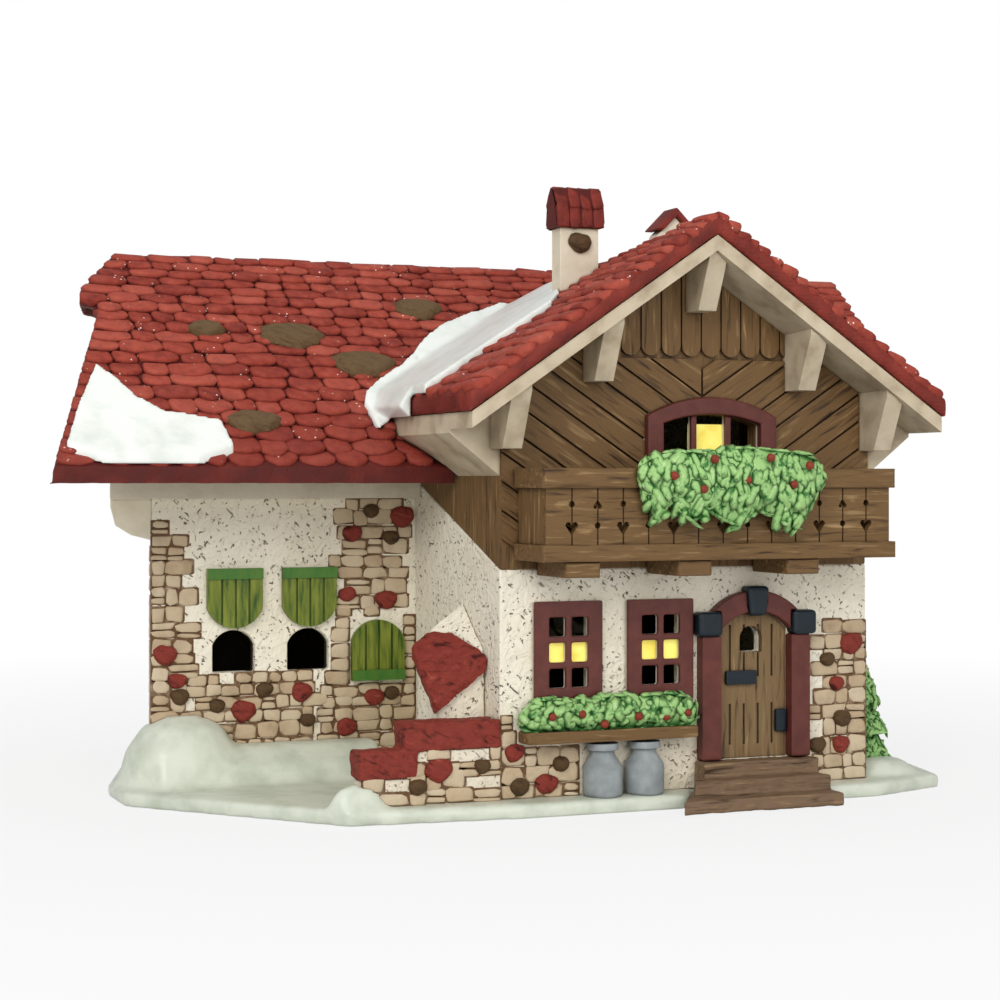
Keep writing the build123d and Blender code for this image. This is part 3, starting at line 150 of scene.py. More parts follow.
# Painted shade for the walls inside the barn
HOLLOW_SHADE = paint(58, 48, 38)
LEAF_LIGHT = paint(160, 203, 128)
LEAF_TIP = paint(214, 236, 188)
LEAF_DARK = paint(56, 116, 54)
SHUTTER_GREEN = paint(105, 119, 36)
SHUTTER_DARK = paint(40, 78, 22)
SHUTTER_RUB = paint(134, 143, 56)
SHUTTER_BAR = paint(62, 118, 46)
BERRY_RED = paint(150, 60, 40)
IRON_BLUE = paint(18, 34, 44)
CAN_GREY = paint(160, 167, 168)
CAN_DARK = paint(80, 86, 90)
STONE_RED = paint(131, 49, 38)
STONE_RED_LIGHT = paint(178, 88, 70)
STONE_BROWN = paint(84, 62, 36)
ROOF_STONE_BROWN = paint(100, 78, 50)
PANE_YELLOW = paint(246, 236, 122)
PANE_DEEP = paint(232, 208, 84)
STEP_BROWN = paint(122, 98, 75)
# Glitter flecks on the tiles, painted as pale glints
GLITTER_GLINT = paint(244, 226, 214)


def feed(tree, node, inputs):
    """Gives a node's inputs their values, or the sockets that they follow."""
    for place, value in inputs.items():
        if isinstance(value, bpy.types.NodeSocket):
            tree.links.new(value, node.inputs[place])
        else:
            node.inputs[place].default_value = value
    return node


def add_node(tree, kind, inputs=None, **settings):
    """A new node in a tree, with its settings and inputs."""
    made = tree.nodes.new(kind)
    for key, value in settings.items():
        setattr(made, key, value)
    return feed(tree, made, inputs or {})


class Finish:
    """A material under construction: textures on Object coordinates, counted in millimetres."""

    def __init__(self, name, roughness=0.6, coat=0.0):
        self.material = bpy.data.materials.new(name)
        self.material.use_nodes = True
        self.tree = self.material.node_tree
        self.shader = self.tree.nodes["Principled BSDF"]
        self.end({"Roughness": roughness, "Specular IOR Level": 0.3, "Coat Weight": coat,
                  "Coat Roughness": 0.25})
        self.coordinates = self.node("ShaderNodeTexCoord").outputs["Object"]

    def node(self, kind, inputs=None, **settings):
        return add_node(self.tree, kind, inputs, **settings)

    def end(self, inputs):
        """What the shader itself is given."""
        feed(self.tree, self.shader, inputs)
        return self

    def place(self, stretch=(1, 1, 1), turn=(0, 0, 0)):
        """Object coordinates in millimetres, turned and then stretched."""
        scale = [MM / value for value in stretch]
        inputs = {"Vector": self.coordinates, "Rotation": turn, "Scale": scale}
        return self.node("ShaderNodeMapping", inputs, vector_type="TEXTURE").outputs["Vector"]

    def noise(self, size, detail=3.0, vector=None, distortion=0.0):
        """Cloudy pattern with features of about that size, from 0 to 1."""
        inputs = {"Scale": 1 / size, "Detail": detail, "Distortion": distortion,
                  "Vector": vector or self.place()}
        return self.node("ShaderNodeTexNoise", inputs).outputs["Fac"]

    def cells(self, size):
        """Distance from the middles of cells of about that size."""
        inputs = {"Scale": 1 / size, "Vector": self.place()}
        return self.node("ShaderNodeTexVoronoi", inputs, feature="F1").outputs["Distance"]

    def ramp(self, value, stops):
        """Value to colour, or to a grey for a mask, through a colour ramp."""
        made = self.node("ShaderNodeValToRGB")
        elements = made.color_ramp.elements
        while len(elements) < len(stops):
            elements.new(0.5)
        for element, (place, colour) in zip(elements, stops):
            element.position = place
            element.color = colour if len(colour) == 4 else (*colour, 1.0)
        return feed(self.tree, made, {"Fac": value}).outputs["Color"]

    def mask(self, value, low, high):
        """0 below low, 1 above high."""
        inputs = {"Value": value, "From Min": low, "From Max": high}
        return self.node("ShaderNodeMapRange", inputs).outputs["Result"]

    def maths(self, operation, first, second):
        return self.node("ShaderNodeMath", {0: first, 1: second}, operation=operation).outputs["Value"]

    def mix(self, factor, first, second):
        """The first colour where factor is 0, the second where it is 1."""
        inputs = {0: factor, 6: first, 7: second}
        return self.node("ShaderNodeMix", inputs, data_type="RGBA", blend_type="MIX").outputs[2]

    def corner_shade(self, shade_reach):
        """Ambient occlusion: 1 in the open, towards 0 in narrow joints and corners, where shade is painted in
        along with the paint wash that gathers there.
        """
        return self.node("ShaderNodeAmbientOcclusion", {"Distance": shade_reach * MM}, samples=8).outputs["AO"]

    def wash_and_shade(self, tone, dark, shade_reach, low, high):
        """A colour darkened in the joints and corners by painted shade and the dark wash, between two levels
        of the ambient occlusion.
        """
        return self.mix(self.mask(self.corner_shade(shade_reach), low, high), dark, tone)

    def tone(self):
        """A number from 0 to 1 that each set-out copy has of its own."""
        return self.node("ShaderNodeAttribute", attribute_name="tone").outputs["Fac"]

    def part(self, vector, name):
        return self.node("ShaderNodeSeparateXYZ", {"Vector": vector}).outputs[name]

    def facing(self, name):
        """The surface's direction along one axis."""
        return self.part(self.node("ShaderNodeNewGeometry").outputs["Normal"], name)

    def axis(self, name):
        """The place along one axis."""
        return self.part(self.place(), name)

    def colour(self, value):
        return self.end({"Base Color": value})

    def rough(self, value, low, high):
        made = self.node("ShaderNodeMapRange", {"Value": value, "To Min": low, "To Max": high})
        return self.end({"Roughness": made.outputs["Result"]})

    def relief(self, value, depth):
        """Fine relief of about that depth in millimetres."""
        made = self.node("ShaderNodeBump", {"Height": value, "Strength": 1.0, "Distance": depth * MM})
        return self.end({"Normal": made.outputs["Normal"]})


def washed_and_shaded(name, base, light, dark, patch=6.0, shade_reach=1.2, roughness=0.62, depth=0.12, grain=0.7,
           own=None, glitter_glints=False, worn=0.5, deep=None):
    """Matt paint, mottled, rubbed light in places, with a dark wash and painted shade in the joints and
    corners, and where asked with glitter painted as pale glints.
    own gives the colours that set-out copies vary between, and deep the paint towards the eaves."""
    made = Finish(name, roughness)
    mottle = made.ramp(made.noise(patch, 4), [(0.3, dark), (0.5, base), (0.72, light)])
    soft = made.mix(worn, base, mottle)
    if own:
        soft = made.mix(0.55, soft, made.ramp(made.tone(), [(0.0, own[0]), (0.5, own[1]), (1.0, own[2])]))
    if deep:
        low = made.mask(made.axis("Z"), BARN_EAVE + HOME.z + EAVE_WARMTH, BARN_EAVE + HOME.z)
        soft = made.mix(made.maths("MULTIPLY", low, 0.6), soft, deep)
    # Painted shade and the dark wash in the joints and corners
    tone = made.wash_and_shade(soft, dark, shade_reach, 0.25, 0.8)
    if glitter_glints:
        # Painted glints: sparse pale specks where the glitter on the tiles catches the light
        glint_specks = made.mask(made.cells(1.6), 0.16, 0.09)
        sparse = made.mask(made.noise(7.0, 3), 0.53, 0.6)
        tone = made.mix(made.maths("MULTIPLY", glint_specks, sparse), tone, GLITTER_GLINT)
    made.colour(tone)
    made.rough(made.noise(2.5), roughness - 0.12, roughness + 0.14)
    return made.relief(made.noise(grain, 4), depth)


def rough_stone(name, base, light, dark):
    """Hewn stone, matt, with scratches that run across it and painted shade in its joints."""
    made = Finish(name, 0.68)
    hewn = made.noise(2.0, 6, made.place((0.45, 0.45, 1.3), (0.0, 0.5, 0.3)), 1.2)
    tone = made.ramp(hewn, [(0.3, dark), (0.46, base), (0.62, base), (0.8, light)])
    made.colour(made.wash_and_shade(tone, dark, 1.0, 0.2, 0.8))
    made.rough(hewn, 0.55, 0.8)
    return made.relief(hewn, 0.7)


def timber(name, angle=0.0, along="X", two_ways=False, brown=TIMBER_BROWN):
    """Brown wood paint: long grain streaks, painted shade in the grooves and rubbed pale on the ribs."""
    made = Finish(name, 0.6)

    def streaks(turn):
        stretch = {"X": (0.09, 1.0, 1.0), "Y": (1.0, 0.09, 1.0), "Z": (1.0, 1.0, 0.09)}[along]
        return made.noise(0.9, 5, made.place(stretch, (0, turn, 0)), 0.6)

    grain = streaks(radians(angle))
    if two_ways:
        right = made.mask(made.axis("X"), PLANK_MIDDLE + HOME.x - 0.1, PLANK_MIDDLE + HOME.x + 0.1)
        other = streaks(-radians(angle))
        grain = made.node("ShaderNodeMix", {0: right, 2: grain, 3: other}, data_type="FLOAT").outputs[0]
    tone = made.ramp(grain, [(0.3, TIMBER_DARK), (0.45, brown), (0.58, brown), (0.72, TIMBER_RUB)])
    patchy = made.mix(made.mask(made.noise(9.0, 2), 0.35, 0.7), tone, brown)
    made.colour(made.wash_and_shade(made.mix(0.4, tone, patchy), TIMBER_DARK, 1.6, 0.2, 0.7))
    made.rough(grain, 0.5, 0.72)
    return made.relief(grain, 0.22)


def rendered_wall(name):
    """Trowelled off-white render: dots and dashes of brown wash in the pits, warmer towards the ground, with
    painted shade in the corners and on the walls inside the barn.
    """
    made = Finish(name, 0.7)
    cloud = made.ramp(made.noise(14.0, 4), [(0.3, RENDER_SHADE), (0.55, RENDER_WHITE)])
    base = made.mix(0.3, RENDER_WHITE, cloud)
    dots = made.mask(made.noise(0.72, 1, made.place((0.9, 0.9, 0.8), (0.3, 0.5, 0.2)), 0.3), 0.665, 0.715)
    dashes = made.mask(made.noise(0.8, 1, made.place((0.4, 0.4, 1.4), (0.1, 0.7, 0.1)), 0.5), 0.675, 0.72)
    dotted = made.maths("MULTIPLY", dots, made.mask(made.noise(6.0, 2), 0.34, 0.48))
    dashed = made.maths("MULTIPLY", dashes, made.mask(made.noise(8.0, 2), 0.44, 0.54))
    pits = made.maths("MAXIMUM", dotted, dashed)
    pitted = made.mix(made.maths("MULTIPLY", pits, 0.85), base, RENDER_PIT)
    foot = made.mask(made.axis("Z"), *FOOT_WARMTH)
    warm = made.mix(made.maths("MULTIPLY", foot, 0.35), pitted, STONE_TAN)
    wall = made.wash_and_shade(warm, RENDER_SHADE, 1.0, 0.1, 0.6)
    # Painted shade: inside the barn, below the eave, the walls turn dark
    hollow_shade = made.mask(made.axis("Z"), BARN_EAVE, BARN_EAVE - 1)
    for axis, edge, dark in BARN_SHADED_HOLLOW:
        home = HOME["XY".index(axis)]
        hollow_shade = made.maths("MULTIPLY", hollow_shade, made.mask(made.axis(axis), home + edge, home + dark))
    made.colour(made.mix(hollow_shade, wall, HOLLOW_SHADE))
    made.rough(made.noise(3.0), 0.6, 0.82)
    swept = made.noise(2.4, 5, made.place((1.0, 1.0, 0.7), (0.2, 0.7, 0.3)), 1.4)
    return made.relief(made.maths("SUBTRACT", swept, made.maths("MULTIPLY", pits, 0.6)), 0.7)


def foliage(name):
    """Leaf green, rubbed pale on the leaves' ridges, with painted shade between them."""
    made = Finish(name, 0.55)
    tone = made.ramp(made.noise(1.6, 3), [(0.3, LEAF_DARK), (0.46, LEAF_LIGHT), (0.62, LEAF_LIGHT),
                                          (0.8, LEAF_TIP)])
    made.colour(made.wash_and_shade(tone, LEAF_DARK, 2.0, 0.3, 0.85))
    made.rough(made.noise(1.2), 0.45, 0.65)
    return made.relief(made.noise(0.5, 3), 0.12)


def snow(name, white=SNOW_WHITE, shade=SNOW_SHADE):
    """White glaze with a cool cast where it lies thin."""
    made = Finish(name, 0.34, 0.25)
    made.colour(made.ramp(made.noise(7.0, 3), [(0.3, shade), (0.55, white)]))
    made.rough(made.noise(2.0), 0.28, 0.5)
    return made.relief(made.noise(2.2, 4), 0.2)


def satin(name, base, dark, roughness=0.42, shade_reach=1.0, depth=0.08, bare=None):
    """Brushed satin paint with painted shade in the corners.
    bare is the colour of the unpainted sides inside a hole, behind the given place along Y."""
    made = Finish(name, roughness)
    tone = made.mix(made.mask(made.noise(3.0, 4), 0.35, 0.75), dark, base)
    tone = made.wash_and_shade(made.mix(0.6, tone, base), dark, shade_reach, 0.2, 0.75)
    if bare:
        inward = made.mask(made.maths("ABSOLUTE", made.facing("Y"), 0.0), 0.35, 0.25)
        deep = made.mask(made.axis("Y"), HOME.y - PANEL_SKIN - 0.1, HOME.y - PANEL_SKIN + 0.1)
        tone = made.mix(made.maths("MULTIPLY", inward, deep), tone, bare)
    made.colour(tone)
    made.rough(made.noise(1.6), roughness - 0.1, roughness + 0.16)
    return made.relief(made.noise(0.9, 4), depth)


def shutter_paint(name):
    """Green plank paint, brushed along the planks, with a darker cross bar, which stands out further, and
    painted shade in the corners.
    """
    made = Finish(name, 0.5)
    brushed = made.noise(1.0, 4, made.place((1.0, 1.0, 0.15)))
    tone = made.ramp(brushed, [(0.3, SHUTTER_DARK), (0.48, SHUTTER_GREEN), (0.7, SHUTTER_RUB)])
    face = BARN_FRONT + HOME.y - SHUTTER_FACE
    bar = made.mask(made.axis("Y"), face + 0.1, face - 0.1)
    tone = made.mix(made.maths("MULTIPLY", bar, 0.8), tone, SHUTTER_BAR)
    made.colour(made.wash_and_shade(tone, SHUTTER_DARK, 1.0, 0.2, 0.75))
    made.rough(brushed, 0.4, 0.6)
    return made.relief(brushed, 0.12)


def lit_film(name):
    """Yellow film behind the panes, with a soft painted glow as if lit from inside."""
    made = Finish(name, 0.3)
    tone = made.ramp(made.noise(4.0, 2), [(0.3, PANE_DEEP), (0.6, PANE_YELLOW)])
    return made.end({"Base Color": tone, "Emission Color": tone, "Emission Strength": 0.35})


def bright_metal(name, colour, roughness):
    made = Finish(name, roughness).end({"Base Color": colour, "Metallic": 1.0})
    return made.rough(made.noise(1.5), roughness - 0.06, roughness + 0.1)


def clear_glass(name):
    return Finish(name, 0.03).end({"Transmission Weight": 1.0, "IOR": 1.45})


FINISHES = {
    "tiles": washed_and_shaded("roof_tiles", ROOF_RED, ROOF_RED_LIGHT, ROOF_JOINT, 2.6, 1.3, 0.66, 0.3, 0.9,
                    (ROOF_RED_DEEP, ROOF_RED, ROOF_RED_LIGHT), True, 0.75, ROOF_RED_DEEP),
    "cap_tiles": washed_and_shaded("cap_tiles", ROOF_RED_DEEP, ROOF_RED, ROOF_JOINT, 4.0, 1.2, 0.62, 0.2),
    "roof_bed": washed_and_shaded("roof_bed", FASCIA_RED, ROOF_RED_DEEP, ROOF_JOINT, 5.0, 1.5, 0.62, 0.16),
    "render": rendered_wall("trowelled_render"),
    "barge": washed_and_shaded("barge_red", ROOF_RED_DEEP, ROOF_RED, ROOF_JOINT, 5.0, 1.2, 0.62, 0.16),
    # The trim in painted shade and the cornice in painted light: shaded and lit copies of one white
    "trim": washed_and_shaded("white_trim", SHADED_TRIM_WHITE, TRIM_LIGHT, TRIM_WASH_AND_SHADE, 6.0, 1.6, 0.62, 0.14, 1.2),
    "cornice": washed_and_shaded("cornice", LIT_CORNICE_WHITE, RENDER_WHITE, TRIM_WASH_AND_SHADE, 7.0, 1.0, 0.62, 0.14, 1.2,
                      worn=0.18),
    "stone": washed_and_shaded("wall_stone", STONE_TAN, STONE_PALE, JOINT_BROWN, 4.0, 0.6, 0.7, 0.25, 1.0,
                    (STONE_WARM, STONE_TAN, STONE_PALE)),
    "joint": washed_and_shaded("wall_joint", JOINT_BROWN, STONE_TAN, JOINT_BROWN, 3.0, 0.5, 0.75, 0.1),
    "planks": timber("gable_planks", 33.0, "X", True),
    "boards": timber("upright_boards", 0.0, "Z"),
    "door": timber("door_boards", 0.0, "Z", False, DOOR_BROWN),
    "rails": timber("long_timber", 0.0, "X"),
    "side_timber": timber("side_timber", 0.0, "Z"),
    "step": timber("worn_steps", 0.0, "X", False, STEP_BROWN),
    "maroon": satin("maroon_frames", MAROON, MAROON_DARK, 0.42, 1.0, 0.08, BISQUE),
    "snow": snow("snow_glaze"),
    # Snow on the ground, in painted shade
    "ground_snow": snow("ground_snow", GROUND_SNOW_SHADED, GROUND_SNOW_DEEP_SHADE),
    "leaf": foliage("leaf_green"),
    "shutter": shutter_paint("shutter_green"),
    "door_maroon": satin("maroon_arch", MAROON, MAROON_DARK),
    "berry": satin("berry_red", BERRY_RED, MAROON_DARK, 0.5),
    "iron": satin("blue_iron", IRON_BLUE, paint(8, 12, 16), 0.35),
    "can": satin("can_grey", CAN_GREY, CAN_DARK, 0.5, 1.6),
    "red_stone": rough_stone("red_stone", STONE_RED, STONE_RED_LIGHT, ROOF_JOINT),
    "brown_stone": rough_stone("brown_stone", STONE_BROWN, TIMBER_BROWN, TIMBER_DARK),
    "roof_stone": rough_stone("roof_stone", ROOF_STONE_BROWN, TIMBER_BROWN, STONE_BROWN),
    "pane": lit_film("lit_pane"),
    "lamp": satin("lamp_white", paint(228, 228, 222), paint(190, 190, 184), 0.4),
    "steel": bright_metal("spring_steel", (0.62, 0.62, 0.64, 1.0), 0.28),
    "brass": bright_metal("cap_brass", (0.78, 0.6, 0.26, 1.0), 0.3),
    "glass": clear_glass("bulb_glass"),
}


WELD_REACH = 0.00001
SMOOTHING = 0.5


def show(name, data):
    """An object in the scene for a mesh, a lamp or a camera."""
    piece = bpy.data.objects.new(name, data)
    bpy.context.scene.collection.objects.link(piece)
    return piece


def modify(piece, name, kind, **settings):
    """A modifier on a piece, with its settings."""
    made = piece.modifiers.new(name, kind)
    for key, value in settings.items():
        setattr(made, key, value)
    return made


def plain_mesh(piece):
    """What a piece's modifiers make, as a plain, smoothly shaded mesh."""
    graph = bpy.context.evaluated_depsgraph_get()
    made = bpy.data.meshes.new_from_object(piece.evaluated_get(graph), depsgraph=graph)
    for polygon in made.polygons:
        polygon.use_smooth = True
    return made


def dress(mesh, finish):
    mesh.materials.clear()
    mesh.materials.append(FINISHES[finish].material)


# Pieces that repeat
SETTING_OUT_INPUTS = (("Geometry", "Geometry"), ("Pieces", "Collection"), ("Finish", "Material"),
                      ("Turn", "Float"), ("Growth", "Float"), ("Seed", "Int"))


def mesh_piece(name, points, faces):
    mesh = bpy.data.meshes.new(name)
    mesh.from_pydata(points, [], faces)
    mesh.update()
    return bpy.data.objects.new(name, mesh)


def setting_out_tree():
    """Puts one of a set of pieces on every point, turned and sized as the point says."""
    tree = bpy.data.node_groups.new("setting_out", "GeometryNodeTree")
    for name, kind in SETTING_OUT_INPUTS:
        tree.interface.new_socket(name, in_out="INPUT", socket_type="NodeSocket" + kind)
    tree.interface.new_socket("Geometry", in_out="OUTPUT", socket_type="NodeSocketGeometry")

    def add(kind, inputs=None, **settings):
        return add_node(tree, kind, inputs, **settings)

    def attribute(name, kind):
        return add("GeometryNodeInputNamedAttribute", {"Name": name}, data_type=kind).outputs["Attribute"]

    def spread(name):
        """A random number between minus and plus the named input."""
        minus = add("ShaderNodeMath", {0: given[name], 1: -1.0}, operation="MULTIPLY").outputs[0]
        inputs = {2: minus, 3: given[name], "Seed": given["Seed"]}
        return add("FunctionNodeRandomValue", inputs, data_type="FLOAT").outputs[1]

    given = add("NodeGroupInput").outputs
    pieces = add("GeometryNodeCollectionInfo", {"Collection": given["Pieces"], "Separate Children": True,
                                                "Reset Children": True})
    turn = add("FunctionNodeEulerToRotation", {0: attribute("turn", "FLOAT_VECTOR")})
    grow = add("ShaderNodeMath", {0: spread("Growth"), 1: 1.0}, operation="ADD")
    sized = add("ShaderNodeVectorMath", {0: attribute("size", "FLOAT_VECTOR"), "Scale": grow.outputs[0]},
                operation="SCALE")
    put = add("GeometryNodeInstanceOnPoints", {
        "Points": given["Geometry"], "Instance": pieces.outputs[0], "Pick Instance": True,
        "Instance Index": attribute("kind", "INT"), "Rotation": turn.outputs[0], "Scale": sized.outputs[0]})
    angle = add("ShaderNodeCombineXYZ", {"Z": spread("Turn")})
    jitter = add("GeometryNodeRotateInstances", {0: put.outputs[0], "Rotation": angle.outputs[0]})
    real = add("GeometryNodeRealizeInstances", {0: jitter.outputs[0]})
    finish = add("GeometryNodeSetMaterial", {"Geometry": real.outputs[0], "Material": given["Finish"]})
    add("NodeGroupOutput", {0: finish.outputs[0]})
    return tree


SETTING_OUT = setting_out_tree()


def marked_points(name, places, count, seed):
    """Points that carry each copy's turn and size, which of the kinds it is, and its tone."""
    choice = random.Random(seed)
    mesh = bpy.data.meshes.new(name)
    mesh.from_pydata([tuple(spot(*point)) for point, across, up, size in places], [], [])
    turns, sizes, picks, tones = [], [], [], []
    for point, across, up, size in places:
        across, up = Vector(across).normalized(), Vector(up).normalized()
        normal = across.cross(up).normalized()
        turns.extend(Matrix((across, normal.cross(across), normal)).transposed().to_euler())
        sizes.extend(value * MM for value in size)
        picks.append(choice.randrange(count))
        tones.append(choice.random())
    for mark, kind, field, values in (
        ("turn", "FLOAT_VECTOR", "vector", turns), ("size", "FLOAT_VECTOR", "vector", sizes),
        ("kind", "INT", "value", picks), ("tone", "FLOAT", "value", tones),
    ):
        mesh.attributes.new(mark, kind, "POINT").data.foreach_set(field, values)
    return show(name + "_points", mesh)


def set_out(name, places, kinds, finish, turn=0.0, growth=0.0, seed=SEED, trim=None):
    """A piece made of copies: places are (point, across, up, size) and kinds the meshes to choose from.
    trim, where given, moves a point of the finished mesh back inside an edge."""
    holder = bpy.data.collections.new(name + "_kinds")
    for index, kind in enumerate(kinds):
        kind.name = f"kind_{index:02d}"
        holder.objects.link(kind)
    points = marked_points(name, places, len(kinds), seed)
    modifier = modify(points, "setting_out", "NODES", node_group=SETTING_OUT)
    values = {"Pieces": holder, "Finish": finish.material, "Turn": turn, "Growth": growth, "Seed": seed}
    for item in SETTING_OUT.interface.items_tree:
        if item.in_out == "INPUT" and item.name in values:
            modifier[item.identifier] = values[item.name]
    made = plain_mesh(points)
    made.name = name
    for spare in (points, *kinds):
        bpy.data.objects.remove(spare)
    bpy.data.collections.remove(holder)
    if trim:
        for vertex in made.vertices:
            vertex.co = (trim(Vector(vertex.co) / MM - HOME) + HOME) * MM
    for mark in ("turn", "size", "kind"):
        if mark in made.attributes:
            made.attributes.remove(made.attributes[mark])
    return show(name, made)


def cushion(outline, inset, foot, lip, top):
    """A low cushion on an outline: upright edge, rounded shoulder, sloped top.
    foot and lip are levels, and top gives the level of the crown at a point."""
    count = len(outline)
    middle = Vector((sum(x for x, y in outline) / count, sum(y for x, y in outline) / count))
    points = []
    for share, drop in ((1.0, None), (1.0, lip), (1.0 - inset * 0.4, lip * 0.35), (1.0 - inset, 0.0)):
        for x, y in outline:
            place = middle + (Vector((x, y)) - middle) * share
            points.append((place.x, place.y, foot if drop is None else top(place.x, place.y) - drop))
    faces = [tuple(range(count - 1, -1, -1)), tuple(range(3 * count, 4 * count))]
    for ring in (0, count, 2 * count):
        for index in range(count):
            following = (index + 1) % count
            faces.append((ring + index, ring + following, ring + count + following, ring + count + index))
    return points, faces


TILE_HANG = 0.34


def shingles(count, seed, hang=TILE_HANG):
    """Hand-cut shingles, one unit wide and long, whose rounded lower edge hangs over the step below;
    heights in millimetres."""
    chance = random.Random(seed)
    kinds = []

    def off(amount):
        return chance.uniform(-amount, amount)

    for index in range(count):
        low, drop = off(0.14), -hang + off(hang * 0.3)
        outline = [
            (-0.5, 0.14 + off(0.08)), (-0.4 + off(0.03), -0.08 + off(0.06)),
            (-0.2 + low / 2, drop * 0.8 + off(0.04)), (low, drop), (0.2 + low / 2, drop * 0.8 + off(0.04)),
            (0.4 + off(0.03), -0.08 + off(0.06)), (0.5, 0.14 + off(0.08)),
            (0.5, 0.6), (0.46, 1.0), (-0.46, 1.0), (-0.5, 0.6),
        ]
        proud, slant, tilt = 0.85 + off(0.22), off(0.5), 0.2 + off(0.2)
        points, faces = cushion(outline, 0.34, -1.3, 0.5,
                                lambda x, y: proud + slant * x - tilt * max(y, 0.0))
        kinds.append(mesh_piece(f"shingle_{index}", points, faces))
    return kinds


# Tiled roofs: the castings have courses as steps, and the tiles over them are set out here
COURSE_SHARES = (1.28, 0.76)  # the lowest and the highest course, against the mean
COURSE_MEAN = 3.95
COURSE_SINK = 0.75
TILE_WIDTH = (5.0, 10.5)
TILE_EDGE = 0.25
TILE_TURN = 0.06
TILE_GROWTH = 0.08


def courses(length):
    """Where each course starts and ends, as shares of the slope, lower courses being taller."""
    count = round(length / COURSE_MEAN)
    low, high = COURSE_SHARES
    heights = [low + (high - low) * row / (count - 1) for row in range(count)]
    foot = 0.0
    for height in heights:
        top = foot + height / sum(heights)
        yield foot, top, foot == 0.0
        foot = top


def barn_top(y):
    return BARN_RIDGE - BARN_SLOPE * abs(y - RIDGE_Y)


def house_ridge(y):
    return HOUSE_RIDGE - HOUSE_FALL * (y - GABLE_Y) / (RIDGE_Y - GABLE_Y)


def house_top(x, y):
    share = 1 - abs(x - HOUSE_MIDDLE) / (HOUSE_MIDDLE + HOUSE_SIDE)
    return HOUSE_EAVE + (house_ridge(y) - HOUSE_EAVE) * share


def barn_left(y):
    """The left edge of the barn's slopes: a leaning rake with a half hip over it."""
    z = barn_top(y)
    if z > BARN_RIDGE - HIP_FALL:
        x = RIDGE_LEFT - HIP_REACH * (BARN_RIDGE - z) / HIP_FALL
    elif z > BARN_RIDGE - HIP_FALL - ROOF_DROP:
        x = RIDGE_LEFT - HIP_REACH
    else:
        x = RIDGE_LEFT - RAKE_REACH * (BARN_RIDGE - z) / (BARN_RIDGE - BARN_EAVE)
    return x + (y - RIDGE_Y) * END_SKEW


def course(start, end, chance):
    """(middle, width) of every tile in one course, which they fill from end to end."""
    widths = []
    while sum(widths) < end - start:
        widths.append(chance.uniform(*TILE_WIDTH))
    along, fit = start, (end - start) / sum(widths)
    for width in widths:
        yield along + width * fit / 2, width * fit * 1.02
        along += width * fit


def tile(foot, head, across, normal, width, first, chance):
    """One tile's place as laid; its head sinks under the next course."""
    up = Vector(head) - Vector(normal).normalized() * COURSE_SINK - Vector(foot)
    foot = Vector(foot) + up * (TILE_HANG if first else chance.uniform(-0.13, 0.13))
    return tuple(foot), across, up, (width, up.length, 1.0)


def barn_tiles(side):
    """Tiles on one slope of the barn, left out under the house roof."""
    chance = random.Random(SEED + side)
    run = RIDGE_Y - EAVE_FRONT
    normal = Vector((0, side * BARN_SLOPE, 1))
    places = []
    for low, high, first in courses(hypot(run, BARN_RIDGE - BARN_EAVE)):
        y, head = (RIDGE_Y + side * run * (1 - level) for level in (low, high))
        for x, width in course(barn_left(y) + TILE_EDGE, ROOF_RIGHT - TILE_EDGE, chance):
            hidden = -1 < x < HOUSE_WIDTH + HOUSE_SIDE and house_top(x, head) > barn_top(head) + 1
            short = x > HOUSE_MIDDLE and y < RIGHT_EAVE_Y
            if side > 0 or not (hidden or short):
                places.append(tile((x, y, barn_top(y)), (x, head, barn_top(head)), (-side, 0, 0), normal,
                                   width, first, chance))

    def trim(place):
        y = max(place.y, RIDGE_Y) if side > 0 else min(place.y, RIDGE_Y)
        y = between(y, EAVE_FRONT + TILE_EDGE, EAVE_BACK - TILE_EDGE)
        return Vector((between(place.x, barn_left(y) + TILE_EDGE, ROOF_RIGHT - TILE_EDGE), y, place.z))

    name = "barn_tiles_back" if side > 0 else "barn_tiles_front"
    return set_out(name, places, shingles(12, SEED), FINISHES["tiles"], TILE_TURN, TILE_GROWTH, SEED + side,
                   trim)


def house_tiles(side):
    """Tiles on one slope of the house roof, which flattens towards the back."""
    chance = random.Random(SEED + 10 + side)
    half = HOUSE_MIDDLE + HOUSE_SIDE
    places = []
    for low, high, first in courses(hypot(half, HOUSE_RIDGE - HOUSE_EAVE)):
        for y, width in course(GABLE_Y + TILE_EDGE, RIDGE_Y, chance):
            rise = house_ridge(y) - HOUSE_EAVE
            ends = [(HOUSE_MIDDLE + side * half * (1 - level), y, HOUSE_EAVE + rise * level)
                    for level in (low, high)]
            if barn_top(y) < ends[1][2] + 0.4:
                places.append(tile(*ends, (0, side, 0), (side * rise, 0, half), width, first, chance))

    def trim(place):
        x = min(place.x, HOUSE_MIDDLE) if side < 0 else max(place.x, HOUSE_MIDDLE)
        x = between(x, TILE_EDGE - HOUSE_SIDE, HOUSE_WIDTH + HOUSE_SIDE - TILE_EDGE)
        return Vector((x, max(place.y, GABLE_Y + TILE_EDGE), place.z))

    name = "house_tiles_right" if side > 0 else "house_tiles_left"
    return set_out(name, places, shingles(12, SEED + 1), FINISHES["tiles"], TILE_TURN, TILE_GROWTH,
                   SEED + 10 + side, trim)


CHIMNEY = (26.16, 35.76, 27.8, 32.6, 126.0)
CAP_HEIGHT = 9.4
CAP_OVER = 1.1
CAP_HANG = 0.12
CAP_EDGE = 0.3
CAP_TILES = 4
CAP_COURSES = ((1.02, 0.06, 0.82, 0.62), (0.9, 0.5, 0.2, 1.0))


